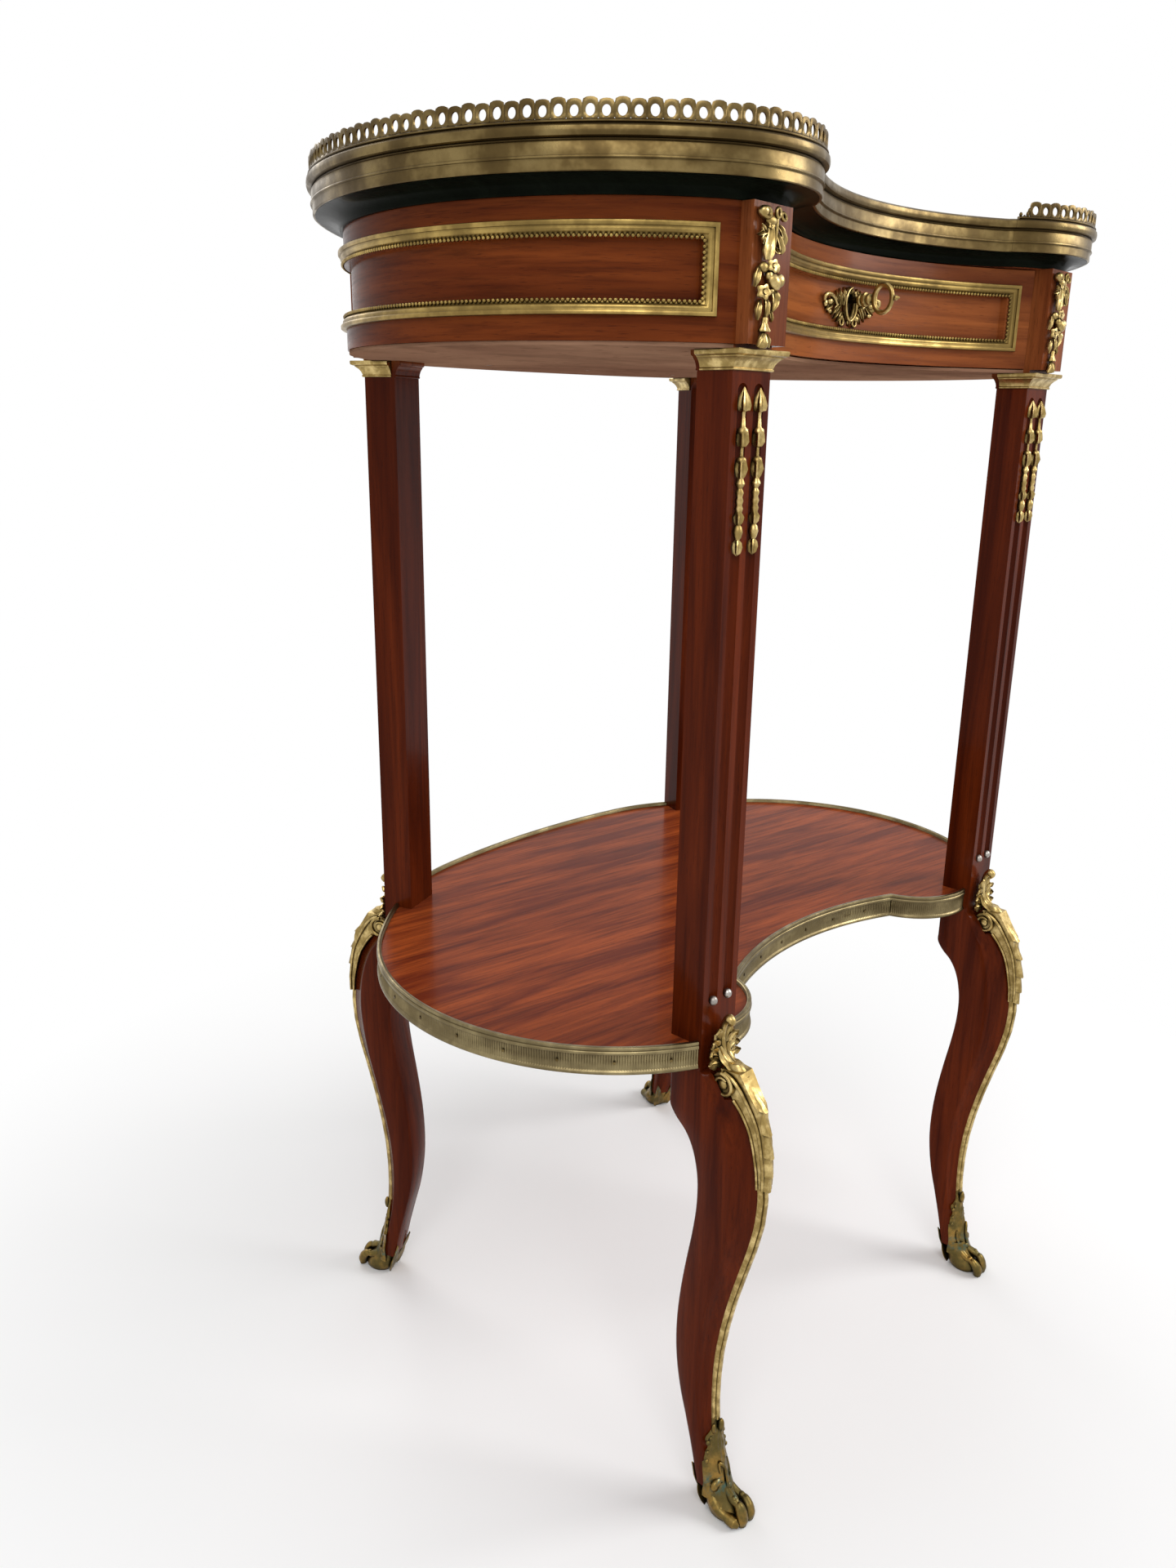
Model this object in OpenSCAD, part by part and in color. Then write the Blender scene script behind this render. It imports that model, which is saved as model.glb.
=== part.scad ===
// Kidney-shaped side table: veneered wood with brass mounts, one concave drawer,
// four fluted posts, a kidney shelf and cabriole legs with paw feet.
// The plan is drawn from circular arcs that are shared by the top, the frieze and the shelf.
// +Z is up, -Y is the concave drawer side, and the feet stand at Z = 0.

/* [Plan of the kidney] */
// Half distance between the centres of the two lobes
lobe_x = 99.5; // [97:0.5:102]
// Place of the lobe centres in Y
lobe_y = -18.4; // [-20:0.2:-17]
// Radius of a lobe
lobe_r = 145.5; // [143:0.5:148]
// Radius of the flatter shoulder behind each lobe
shoulder_r = 330; // [310:5:350]
// Radius of the long back curve
back_r = 560; // [540:10:600]
// Middle of the back curve in Y
back_y = 158.5; // [157:0.5:160]
// Radius of the nose over each front leg
nose_r = 49; // [47:1:51]
// Direction in which the nose touches the lobe
nose_a = -57.2; // [-58:0.2:-56]
// Middle of the concave front of the top in Y
front_y = -96.6; // [-98:0.2:-95]
// Radius of the concave front of the top
front_r = 214; // [210:1:218]
// Radius of the nose of the shelf beside each front leg
shelf_nose_r = 44.1; // [43:0.1:45]
// Centre of the nose of the shelf in X
shelf_nose_x = 133; // [132:0.5:134]
// Centre of the nose of the shelf in Y
shelf_nose_y = -101; // [-102:0.5:-100]
// Middle of the concave front of the shelf in Y
shelf_front_y = -93.8; // [-95:0.2:-92]
// Radius of the concave front of the shelf
shelf_front_r = 218; // [214:1:222]

/* [Heights] */
// How far the joint of post and cabriole leg lies under the top of the shelf wood
block_drop = 15; // [14:0.5:15.5]
// Top of the shelf wood
shelf_z = 309; // [306:1:312]
// Thickness of the shelf board
shelf_t = 12; // [10:1:13]
// Underside of the frieze
frieze_z = 660; // [656:1:664]
// Height of the frieze
frieze_h = 58; // [56:1:60]
// Height of the cove under the top band
cove_h = 6.7; // [6:0.1:7.5]
// Height of the brass band of the top
band_h = 17.6; // [16:0.2:19]
// Height of the pierced gallery above the band
gallery_h = 9.7; // [9:0.1:10.5]

/* [Posts] */
// Width of the fluted face
leg_w = 29; // [28:0.5:30]
// Depth of a post
leg_d = 20.4; // [20:0.2:21]
// Centre of the front posts in X
front_leg_x = 152.8; // [152:0.2:154]
// Centre of the front posts in Y
front_leg_y = -138; // [-139:0.5:-137]
// Centre of the back posts in X
back_leg_x = 150.4; // [150:0.2:151]
// Centre of the back posts in Y
back_leg_y = 120.8; // [120:0.2:122]
// Direction that the fluted face of a back post looks in
back_leg_a = 68; // [66:1:70]
// How far the stile stands in front of the fluted face
stile_out = 7.3; // [6:0.1:8]
// Radius of a flute
flute_r = 3.9; // [3.5:0.1:4]
// Half distance between the two flutes
flute_x = 6.2; // [6:0.1:6.5]
// Lower end of the flutes
flute_z0 = 335; // [333:1:340]
// Upper end of the flutes
flute_z1 = 640; // [636:1:642]

/* [Frieze and frames] */
// How far the frieze stands outside the shelf plan
frieze_d = 2.8; // [2.4:0.1:3.2]
// Thickness of the curved frieze boards
frieze_t = 11; // [11:0.5:11.5]
// Depth of the sunk panel inside a brass frame
panel_sink = 3.5; // [3:0.1:4]
// Lower edge of the brass frames above the frieze edge
frame_z = 10.5; // [10:0.1:11]
// Height of the brass frames
frame_h = 38; // [37:0.5:39]
// Width of a brass frame member
frame_w = 6.8; // [6.5:0.1:7]
// How far the brass frames stand out
frame_out = 3; // [2.6:0.1:3.2]
// Half length of the frame on the drawer
drawer_frame_x = 130; // [128:0.5:131]
// Half length of the frame on the back
back_frame_x = 120; // [116:0.5:121]
// Radius of the drawer's concave face
drawer_r = 249; // [247:1:251]
// Middle of the drawer face in Y
drawer_y = -103; // [-104:0.5:-102]
// Thickness of the drawer front
drawer_t = 18; // [17:0.5:18.5]
// Inside length of the drawer box behind the front
drawer_len = 158; // [150:1:160]
// Length of the guides beside the drawer
guide_len = 176; // [170:1:178]
// Height of the guides beside the drawer
guide_h = 32.4; // [30:0.2:36]

/* [Lock and key] */
// Height of the keyhole above the frieze edge
key_z = 32.5; // [31.5:0.5:33]
// Radius of the two arcs that bound the oval bow
bow_r = 8.6; // [8.4:0.1:8.8]
// How far the centres of the two arcs lie from the middle of the bow
bow_shift = 1.9; // [1.7:0.1:2.1]
// Width of the bar of the bow
bow_bar = 2.6; // [2.2:0.1:2.8]
// Distance from the sunk drawer field to the middle of the bow
bow_out = 23; // [22:0.5:23.5]

/* [Hidden] */
$fn = 96;
gap = 0.2;
// Step where two arcs of the plan meet, so that their ends never almost coincide.
arc_step = 0.002;
centre_y = 5.05;
block_z = shelf_z - block_drop;
guide_y = -114;
band_z = frieze_z + frieze_h + cove_h;
top_z = band_z + band_h;
key_h = frieze_z + key_z;
drawer_c = drawer_y - drawer_r;
field_r = drawer_r + panel_sink;
frame_top = frame_z + frame_h;
post_clear = front_leg_x - leg_w / 2;

wood = "#7a2c14";
dark_wood = "#5a1c0e";
field_wood = "#a0602f";
brass = "#857546";
gilt = "#a8864a";
black = "#171a17";
oak = "#a07850";
steel = "#5b5650";

// Directions, circle crossings and the centres of the plan's arcs.
function dir(a) = [cos(a), sin(a)];
function flip(p, s) = [s * p[0], p[1]];
function crossing(c1, r1, c2, r2, side) =
    let (v = c2 - c1, w = norm(v), x = (r1 * r1 - r2 * r2 + w * w) / (2 * w), h = sqrt(r1 * r1 - x * x))
    c1 + v / w * x + side * [-v[1], v[0]] / w * h;
lobe_c = [lobe_x, lobe_y];
shoulder_c = lobe_c - (shoulder_r - lobe_r) * dir(45);
back_c = [0, back_y - back_r];
nose_c = lobe_c + (lobe_r - nose_r) * dir(nose_a);
corner_r = 140;
corner_c = crossing(back_c, back_r - corner_r, shoulder_c, shoulder_r - corner_r, -1);
back_a = atan2(corner_c[1] - back_c[1], corner_c[0] - back_c[0]);
shoulder_a = atan2(corner_c[1] - shoulder_c[1], corner_c[0] - shoulder_c[0]);
front_c = [0, front_y - front_r];
shelf_nose_c = [shelf_nose_x, shelf_nose_y];
shelf_front_c = [0, shelf_front_y - shelf_front_r];
// Points just inside both the nose and the front circle, beside the place where the two cross.
function beside(k, c1, c2) = k + 2 * (c1 - k) / norm(c1 - k) + 2 * (c2 - k) / norm(c2 - k);
function kink(d) =
    beside(crossing(nose_c, nose_r + d, front_c, front_r - d, -1), nose_c, front_c);
function shelf_kink(d) = beside(
    crossing(shelf_nose_c, shelf_nose_r + d, shelf_front_c, shelf_front_r - d, -1),
    shelf_nose_c, shelf_front_c
);

// The part of the plan behind the lobes, out by d, with round back corners.
module plan_back(d, k, n) {
    difference() {
        intersection() {
            translate(back_c) circle(r = back_r + d, $fn = 360);
            translate(shoulder_c) circle(r = shoulder_r + arc_step + d, $fn = 360);
            translate(flip(shoulder_c, -1)) circle(r = shoulder_r + arc_step + d, $fn = 360);
            polygon([
                n, lobe_c, lobe_c + 400 * dir(45), [0, 600], flip(lobe_c + 400 * dir(45), -1),
                flip(lobe_c, -1), flip(n, -1), flip(k, -1), [0, k[1] - 60], k
            ]);
        }
        for (s = [-1, 1]) difference() {
            polygon([
                flip(corner_c, s), flip(corner_c + 300 * dir(back_a), s),
                flip(corner_c + 600 * dir((back_a + shoulder_a) / 2), s),
                flip(corner_c + 300 * dir(shoulder_a), s)
            ]);
            translate(flip(corner_c, s)) circle(r = corner_r - arc_step + d, $fn = 180);
        }
    }
}

// Plan of the top, out by d from the shelf's size. The noses are full discs beside the front curve.
module top_plan(d) {
    difference() {
        union() {
            plan_back(d, kink(d), nose_c);
            for (s = [-1, 1]) intersection() {
                translate(flip(lobe_c, s)) circle(r = lobe_r + d, $fn = 240);
                polygon([
                    flip(lobe_c, s), flip(lobe_c + 400 * dir(nose_a), s), flip([700, -300], s),
                    flip([700, 300], s), flip(lobe_c + 400 * dir(45), s)
                ]);
            }
        }
        translate(front_c) circle(r = front_r - d, $fn = 240);
    }
    for (s = [-1, 1]) translate(flip(nose_c, s)) circle(r = nose_r - arc_step + d, $fn = 180);
}

// Plan of the shelf, out by d.
module shelf_plan(d) {
    x = front_leg_x;
    difference() {
        union() {
            plan_back(d, shelf_kink(d), [x, -100]);
            for (s = [-1, 1]) intersection() {
                translate(flip(lobe_c, s)) circle(r = lobe_r + d, $fn = 240);
                polygon([
                    flip(lobe_c, s), flip([x, -100], s), flip([x, -300], s), flip([700, -300], s),
                    flip([700, 300], s), flip(lobe_c + 400 * dir(45), s)
                ]);
            }
        }
        translate(shelf_front_c) circle(r = shelf_front_r - d, $fn = 240);
    }
    for (s = [-1, 1]) translate(flip(shelf_nose_c, s)) circle(r = shelf_nose_r + d, $fn = 180);
}

// A wall that follows the top's plan, from offset d0 out to offset d1.
module top_ring(d0, d1, z0, z1) {
    translate([0, 0, z0]) linear_extrude(z1 - z0) difference() {
        top_plan(d1);
        top_plan(d0);
    }
}

module shelf_ring(d0, d1, z0, z1) {
    translate([0, 0, z0]) linear_extrude(z1 - z0) difference() {
        shelf_plan(d1);
        shelf_plan(d0);
    }
}

// Everything is drawn about the plan's own middle and set over the box centre here.
module set() {
    translate([0, centre_y, 0]) children();
}

// Puts a post's own frame, whose fluted face looks along -Y, at each corner.
module corner(name) {
    s = (name == "fl" || name == "bl") ? -1 : 1;
    if (name == "fl" || name == "fr") translate([s * front_leg_x, front_leg_y, 0]) children();
    else translate([s * back_leg_x, back_leg_y, 0]) rotate([0, 0, s * (back_leg_a + 90)]) children();
}

// Lines along the sides of the back posts, g mm clear of them, on the right.
function back_side(g, t) =
    [back_leg_x, back_leg_y] + g * dir(back_leg_a - 90) + t * dir(back_leg_a);

// Region of the right lobe between the two posts, g mm clear of them.
module lobe_zone(g) {
    w = leg_w / 2 + g;
    polygon([
        [front_leg_x + w, -260], [500, -260], [500, 260], back_side(w, 140), back_side(w, -90),
        [front_leg_x - 30, 0], [front_leg_x + w, 0]
    ]);
}

// Region of the back between the two back posts.
module back_zone(g) {
    w = leg_w / 2 + g;
    p = back_side(-w, 140);
    q = back_side(-w, -30);
    polygon([q, p, flip(p, -1), flip(q, -1)]);
}

// Wedge of the right lobe between a front direction and a direction from the shoulder's centre.
module lobe_wedge(a_front, a_back) {
    polygon([
        lobe_c, lobe_c + 400 * dir(a_front), [700, -300], [700, 300],
        shoulder_c + 600 * dir(a_back), shoulder_c + 180 * dir(a_back)
    ]);
}

module prism(z0, z1) {
    translate([0, 0, z0]) linear_extrude(z1 - z0) children();
}

module slab(x0, x1, y0, y1, z0, z1) {
    translate([x0, y0, z0]) cube([x1 - x0, y1 - y0, z1 - z0]);
}

// Notches for the four stiles and posts, grown by g.
module post_notches(z0, z1, g) {
    for (n = ["fl", "fr", "bl", "br"]) corner(n)
        slab(-leg_w / 2 - g, leg_w / 2 + g, -leg_d / 2 - stile_out - g, leg_d / 2 + g, z0, z1);
}

module top_board() color(wood) set() difference() {
    union() {
        prism(frieze_z + frieze_h, band_z) top_plan(2.4);
        prism(band_z, top_z - 1) top_plan(13.8);
    }
    slab(-7, 7, lock_y0 + 2.8, lock_y1 - 1, frieze_z + frieze_h - 1, frieze_z + frieze_h + 8);
}

// Steps of the top band: lower face, raised line, middle face, groove and top strip.
module band_steps() {
    top_ring(14, 17.6, band_z, band_z + 4.6);
    top_ring(14, 18.6, band_z + 4.6, band_z + 5.8);
    top_ring(14, 18.2, band_z + 5.8, band_z + 11.4);
    top_ring(14, 17.4, band_z + 11.4, band_z + 12.4);
    top_ring(14, 20.4, band_z + 12.4, top_z);
}

joint_x = 103;
module front_cut(g) {
    translate([-joint_x + g, -260, band_z - 1]) cube([2 * (joint_x - g), 260 - 100, band_h + 2]);
}

module top_band() color(brass) set() difference() {
    band_steps();
    front_cut(-0.05);
}

module top_band_front() color(brass) set() intersection() {
    band_steps();
    front_cut(0.05);
}

// Pierced gallery: a strip with an oval hole under each arch, and a notch between arches.
gallery_in = 17.2;
gallery_out = 18.5;
function gallery_z() = top_z + 1.4;

module arch_cut(c, r, a, tall) {
    translate([c[0], c[1], gallery_z()]) rotate([0, 0, a]) translate([r, 0, 0]) {
        for (z = [2.9, 4.3 + (tall ? 0.5 : 0)])
            translate([0, 0, z]) rotate([0, 90, 0]) cylinder(r = 1.75, h = 6, center = true, $fn = 24);
    }
}

// One run of arches on an arc: count holes from direction a0 to a1.
module run_cuts(c, r, a0, a1, count) {
    for (i = [0:count - 1]) arch_cut(c, r, a0 + (a1 - a0) * (i + 0.5) / count, i % 2 == 0);
}

module gallery_wall() {
    top_ring(gallery_in, gallery_out, top_z + 1.4, top_z + gallery_h);
    top_ring(gallery_in - 1, gallery_out + 0.9, top_z, top_z + 1.4);
}

module gallery_side() {
    r = (gallery_in + gallery_out) / 2;
    difference() {
        intersection() {
            gallery_wall();
            prism(top_z - 1, top_z + 20) polygon([
                [joint_x + 1, -300], [500, -300], [500, 300],
                corner_c + 300 * dir(shoulder_a), corner_c, lobe_c, [joint_x + 1, -60]
            ]);
        }
        run_cuts(lobe_c, lobe_r + r, nose_a + 1, 44.5, 46);
        run_cuts(shoulder_c, shoulder_r + r, 45.2, shoulder_a - 0.4, 12);
        run_cuts(nose_c, nose_r + r, nose_a - 80, nose_a - 1, 14);
    }
}

module gallery_right() color(brass) set() gallery_side();
module gallery_left() color(brass) set() mirror([1, 0, 0]) gallery_side();

module gallery_back() color(brass) set() {
    r = (gallery_in + gallery_out) / 2;
    p = corner_c + 300 * dir(shoulder_a + 0.1);
    difference() {
        intersection() {
            gallery_wall();
            prism(top_z - 1, top_z + 20)
                polygon([corner_c, p, [0, 600], flip(p, -1), flip(corner_c, -1)]);
        }
        run_cuts(back_c, back_r + r, 180 - back_a, back_a, 30);
        for (s = [0, 1]) mirror([s, 0, 0])
            run_cuts(corner_c, corner_r + r, shoulder_a + 0.6, back_a, 10);
    }
}

// Black cove between frieze and band, in shallow steps.
module soffit() color(black) set() {
    z = frieze_z + frieze_h;
    top_ring(2.5, 4.6, z, z + 1.6);
    top_ring(2.5, 6.4, z + 1.6, z + 3.2);
    top_ring(2.5, 9.6, z + 3.2, z + 4.8);
    top_ring(2.5, 16.6, z + 4.8, band_z);
}

// Curved frieze boards with a sunk field.
module frieze_side() {
    z0 = frieze_z + gap / 2;
    z1 = frieze_z + frieze_h;
    difference() {
        intersection() {
            top_ring(frieze_d - frieze_t, frieze_d, z0, z1);
            prism(z0 - 1, z1 + 1) lobe_zone(0.1);
        }
        intersection() {
            top_ring(frieze_d - panel_sink, frieze_d + 5, frieze_z + frame_z + frame_w,
                frieze_z + frame_top - frame_w);
            prism(z0, z1) lobe_wedge(-55.7, 50.6);
        }
    }
}

module frieze_right() color(wood) set() frieze_side();
module frieze_left() color(wood) set() mirror([1, 0, 0]) frieze_side();

module frieze_back() color(wood) set() {
    z0 = frieze_z + gap / 2;
    z1 = frieze_z + frieze_h;
    x = back_frame_x - frame_w;
    difference() {
        intersection() {
            top_ring(frieze_d - frieze_t, frieze_d, z0, z1);
            prism(z0 - 1, z1 + 1) back_zone(0.1);
        }
        intersection() {
            top_ring(frieze_d - panel_sink, frieze_d + 5, frieze_z + frame_z + frame_w,
                frieze_z + frame_top - frame_w);
            slab(-x, x, 60, 300, z0, z1);
        }
    }
}

// Brass frames: a tall outer fillet, a lower slope and a beaded inner edge.
module frame_side() {
    z0 = frieze_z + frame_z;
    z1 = frieze_z + frame_top;
    difference() {
        intersection() {
            top_ring(frieze_d, frieze_d + frame_out, z0, z1);
            prism(z0 - 1, z1 + 1) lobe_wedge(-58.3, 51.8);
        }
        intersection() {
            top_ring(frieze_d + frame_out - 1.1, frieze_d + 6, z0 + 2.2, z1 - 2.2);
            prism(z0, z1) lobe_wedge(-57.45, 51.42);
        }
        intersection() {
            top_ring(frieze_d - 1, frieze_d + 6, z0 + frame_w, z1 - frame_w);
            prism(z0, z1) lobe_wedge(-55.7, 50.6);
        }
    }
}

module frame_right() color(brass) set() frame_side();
module frame_left() color(brass) set() mirror([1, 0, 0]) frame_side();

module frame_back() color(brass) set() {
    z0 = frieze_z + frame_z;
    z1 = frieze_z + frame_top;
    difference() {
        intersection() {
            top_ring(frieze_d, frieze_d + frame_out, z0, z1);
            slab(-back_frame_x, back_frame_x, 60, 300, z0 - 1, z1 + 1);
        }
        intersection() {
            top_ring(frieze_d + frame_out - 1.1, frieze_d + 6, z0 + 2.2, z1 - 2.2);
            slab(2.2 - back_frame_x, back_frame_x - 2.2, 60, 300, z0, z1);
        }
        intersection() {
            top_ring(frieze_d - 1, frieze_d + 6, z0 + frame_w, z1 - frame_w);
            slab(frame_w - back_frame_x, back_frame_x - frame_w, 60, 300, z0, z1);
        }
    }
}

// Dust board: a lip under the frieze and a thicker part inside it, cut to the drawer's curve.
dust_lip = 1.8;
dust_top = frieze_z + 3.6;
module bottom_board() color(wood) set() difference() {
    union() {
        prism(frieze_z - dust_lip, frieze_z) difference() {
            top_plan(frieze_d - 0.8);
            translate([0, drawer_c]) circle(r = drawer_r + 0.6, $fn = 240);
        }
        prism(frieze_z, dust_top) difference() {
            top_plan(frieze_d - frieze_t - 0.2);
            translate([0, drawer_c]) circle(r = drawer_r + drawer_t + 0.6, $fn = 240);
        }
    }
    post_notches(frieze_z - 5, dust_top + 1, 0.1);
    for (x = [-90, 0, 90]) translate([x, 100, frieze_z - dust_lip])
        cylinder(r = 2.6, h = 1.9);
}

// Post: stile beside the frieze, fluted shaft, and block at the shelf.
module post(name) color(dark_wood) set() corner(name) difference() {
    union() {
        slab(-leg_w / 2, leg_w / 2, -leg_d / 2, leg_d / 2, block_z, frieze_z);
        slab(-leg_w / 2, leg_w / 2, -leg_d / 2 - stile_out, leg_d / 2, frieze_z, frieze_z + frieze_h);
    }
    for (x = [-flute_x, flute_x]) translate([x, -leg_d / 2 - 0.9, 0]) {
        translate([0, 0, flute_z0]) cylinder(r = flute_r, h = flute_z1 - flute_z0, $fn = 48);
        translate([0, 0, flute_z0]) sphere(r = flute_r, $fn = 48);
        translate([0, 0, flute_z1]) sphere(r = flute_r, $fn = 48);
    }
    translate([0, 0, block_z - 1]) cylinder(r = 6, h = 21);
}

module post_fl() post("fl");
module post_fr() post("fr");
module post_bl() post("bl");
module post_br() post("br");

// Cabriole leg: a six-sided section down an S curve, in the post's frame.
// Each row holds the height and the Y of the back, of the side arris and of the keel.
leg_rows = [
    [block_z, leg_d / 2, -leg_d / 2, -leg_d / 2 - 0.6],
    [290, leg_d / 2, -leg_d / 2 - 2.8, -18.5],
    [284, leg_d / 2, -15.6, -24.5],
    [278, leg_d / 2, -19, -29],
    [272, leg_d / 2, -23.6, -33],
    [266, leg_d / 2 - 0.2, -26.4, -37],
    [260, 5.8, -28.6, -39.4],
    [254, -1, -30.4, -41.2],
    [246, -5.9, -32.2, -43.4],
    [236, -9, -33.4, -45],
    [224, -10.6, -33.8, -46],
    [208, -10.2, -32.6, -44.8],
    [190, -7.8, -30, -41],
    [170, -4.2, -25.6, -35.4],
    [150, -1, -21.2, -30.2],
    [130, 1.2, -17.4, -26],
    [110, 1.8, -15.2, -23],
    [92, 0.4, -14.8, -21.8],
    [75, -2.6, -15.8, -21.8],
    [60, -6.6, -17.6, -22.8],
    [40, -12, -22, -27.6],
    [17, -17.4, -27.4, -33]
];
function half_width(z) = 9.5 + (leg_w / 2 - 9.5) * min(1, max(0, (z - 60) / 195));
function row_at(z) =
    let (
        i = max([for (j = [0:len(leg_rows) - 2]) leg_rows[j][0] >= z ? j : 0]),
        a = leg_rows[i],
        b = leg_rows[i + 1]
    )
    a + (b - a) * (z - a[0]) / (b[0] - a[0]);
function leg_ring(row) =
    let (z = row[0], w = half_width(z), y = row[1], s = row[2], k = row[3])
    [[-w, y, z], [w, y, z], [w, s, z], [2.2, k, z], [-2.2, k, z], [-w, s, z]];
function ring_points(rings) = [for (r = rings) for (p = r) p];
function tube_faces(n, m) = concat(
    [[for (j = [0:m - 1]) j]],
    [for (i = [0:n - 2]) for (j = [0:m - 1]) let (k = (j + 1) % m)
        [i * m + j, (i + 1) * m + j, (i + 1) * m + k]],
    [for (i = [0:n - 2]) for (j = [0:m - 1]) let (k = (j + 1) % m)
        [i * m + j, (i + 1) * m + k, i * m + k]],
    [[for (j = [m - 1:-1:0]) (n - 1) * m + j]]
);

// The knee is recessed for the scroll of the mount.
scroll_w = 7.5;
scroll_z0 = 279;
recess_y = -leg_d / 2 - 2;
module cabriole(name) color(dark_wood) set() corner(name) {
    difference() {
        polyhedron(ring_points([for (row = leg_rows) leg_ring(row)]), tube_faces(len(leg_rows), 6));
        slab(-scroll_w - gap, scroll_w + gap, -60, recess_y, scroll_z0, block_z + 1);
    }
    translate([0, 0, block_z - 1]) cylinder(r = 5.9, h = 20, $fn = 32);
}

module cabriole_fl() cabriole("fl");
module cabriole_fr() cabriole("fr");
module cabriole_bl() cabriole("bl");
module cabriole_br() cabriole("br");

// Brass moulding round the three outer faces at the head of each shaft.
capital_steps = [[0.6, 2.2], [1.4, 3.6], [2.8, 5], [4.2, 6.6], [5.2, 9.2]];
module capital(name) color(gilt) set() corner(name) difference() {
    for (i = [0:4]) {
        out = capital_steps[i][0];
        low = i == 0 ? 0 : capital_steps[i - 1][1];
        top = frieze_z - dust_lip;
        slab(-leg_w / 2 - out, leg_w / 2 + out, -leg_d / 2 - out * 1.3, leg_d / 2 - 2,
            top - 9.2 + low, top - 9.2 + capital_steps[i][1]);
    }
    slab(-leg_w / 2, leg_w / 2, -leg_d / 2, leg_d / 2 + 1, frieze_z - 20, frieze_z + 1);
}

module capital_fl() capital("fl");
module capital_fr() capital("fr");
module capital_bl() capital("bl");
module capital_br() capital("br");

// Pendant drops that fill the upper end of every flute.
module drop() {
    rotate_extrude($fn = 32) polygon([
        [0, 0], [1.2, 3], [2.9, 7], [2.2, 11], [1.4, 12], [2.4, 14], [2.4, 34], [1.5, 35.5],
        [2.9, 38], [3.2, 41], [2.2, 44], [1.6, 46], [3.1, 50], [3.4, 56], [2.6, 61], [1.4, 64],
        [2.6, 67], [1.8, 71], [0, 72]
    ]);
}

module flute_drops() color(gilt) set()
    for (n = ["fl", "fr", "bl", "br"], x = [-flute_x, flute_x]) corner(n)
        translate([x, -leg_d / 2 - 0.9, flute_z1 - 70]) drop();

// Ribbon bow with a pendant of fruit and flowers on each stile, 3 mm to 8 mm high.
module stile_mount(name) color(gilt) set() corner(name)
    translate([0, -leg_d / 2 - stile_out, frieze_z]) intersection() {
        slab(-15, 15, -10, 0, -20, 70);
        union() {
            for (s = [-1, 1]) translate([s * 5.4, -0.6, 51]) rotate([90, 0, 0])
                cylinder(r = 4.6, h = 4, center = true, $fn = 32);
            for (s = [-1, 1]) translate([s * 3.6, 0, 42.5]) sphere(r = 4.6, $fn = 32);
            slab(-2.6, 2.6, -3, 0, 4, 52);
            translate([0, 0, 35.5]) sphere(r = 4.6, $fn = 32);
            for (s = [-1, 1]) translate([s * 4.8, 0, 26.5]) sphere(r = 6.2, $fn = 32);
            translate([0, -1.5, 28]) sphere(r = 5.4, $fn = 32);
            translate([0, -0.5, 18.5]) sphere(r = 6.4, $fn = 32);
            translate([0, 0, 10.5]) sphere(r = 4.8, $fn = 32);
            translate([0, 0, 4.8]) sphere(r = 3.8, $fn = 32);
        }
    }

module stile_mount_fl() stile_mount("fl");
module stile_mount_fr() stile_mount("fr");
module stile_mount_bl() stile_mount("bl");
module stile_mount_br() stile_mount("br");

// A strip on the keel: each point is height, half width, edge thickness and full thickness.
module strip(points) {
    rings = [for (p = points) let (z = p[0], w = p[1], k = row_at(z)[3] - 0.1) [
        [-w, k, z], [w, k, z], [w, k - p[2], z], [w * 0.6, k - p[3], z],
        [-w * 0.6, k - p[3], z], [-w, k - p[2], z]
    ]];
    polyhedron(ring_points(rings), tube_faces(len(rings), 6));
}

// Leaf on the post's face, scrolls in the recess and a husk chain down the knee.
leaf_half = [
    [0, 324], [4.6, 318.5], [7.4, 316.5], [9.2, 311],
    [12.6, 309], [12.4, 304], [14.2, 300], [6, 296.4]];
knee_profile = [
    [-10.3, 323], [-14.5, 322.5], [-13, 312], [-15, 304], [-19, 299], [-29, 295], [-36.5, 288],
    [-38.5, 284], [-44.5, 279], [-44.5, 278], [-29.2, 278], [-28.6, scroll_z0 + 0.15],
    [recess_y - 0.2, scroll_z0 + 0.15], [recess_y - 0.2, 295.9], [-10.3, 296.2]
];
husk_points = [
    [278, 4.6, 1.6, 15.3], [272, 4.6, 1.6, 12.9], [266, 4.6, 1.6, 11.3], [260, 4.6, 1.6, 10.1],
    [254, 4.6, 1.6, 9], [246, 4.6, 1.6, 7.4], [236, 4.6, 1.6, 5.9], [233.2, 4.6, 1.6, 5]
];
module knee_mount(name) color(gilt) set() corner(name) {
    translate([0, -leg_d / 2 - 0.1, 0]) rotate([90, 0, 0]) linear_extrude(2.4)
        polygon(concat(leaf_half, [for (i = [len(leaf_half) - 1:-1:1]) flip(leaf_half[i], -1)]));
    translate([-5, 0, 0]) rotate([90, 0, 90]) linear_extrude(10) polygon(knee_profile);
    translate([0, recess_y - 0.2 - 7.6, 287]) rotate([0, 90, 0])
        cylinder(r = 7.6, h = 2 * scroll_w, center = true, $fn = 48);
    strip(husk_points);
}

module knee_mount_fl() knee_mount("fl");
module knee_mount_fr() knee_mount("fr");
module knee_mount_bl() knee_mount("bl");
module knee_mount_br() knee_mount("br");

module leg_fillets() color(brass) set()
    for (n = ["fl", "fr", "bl", "br"]) corner(n) strip([
        for (z = [233, 224, 208, 190, 170, 150, 130, 110, 92, 75, 65.6]) [z, 2.1, 1.8, 2.8]
    ]);

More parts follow.
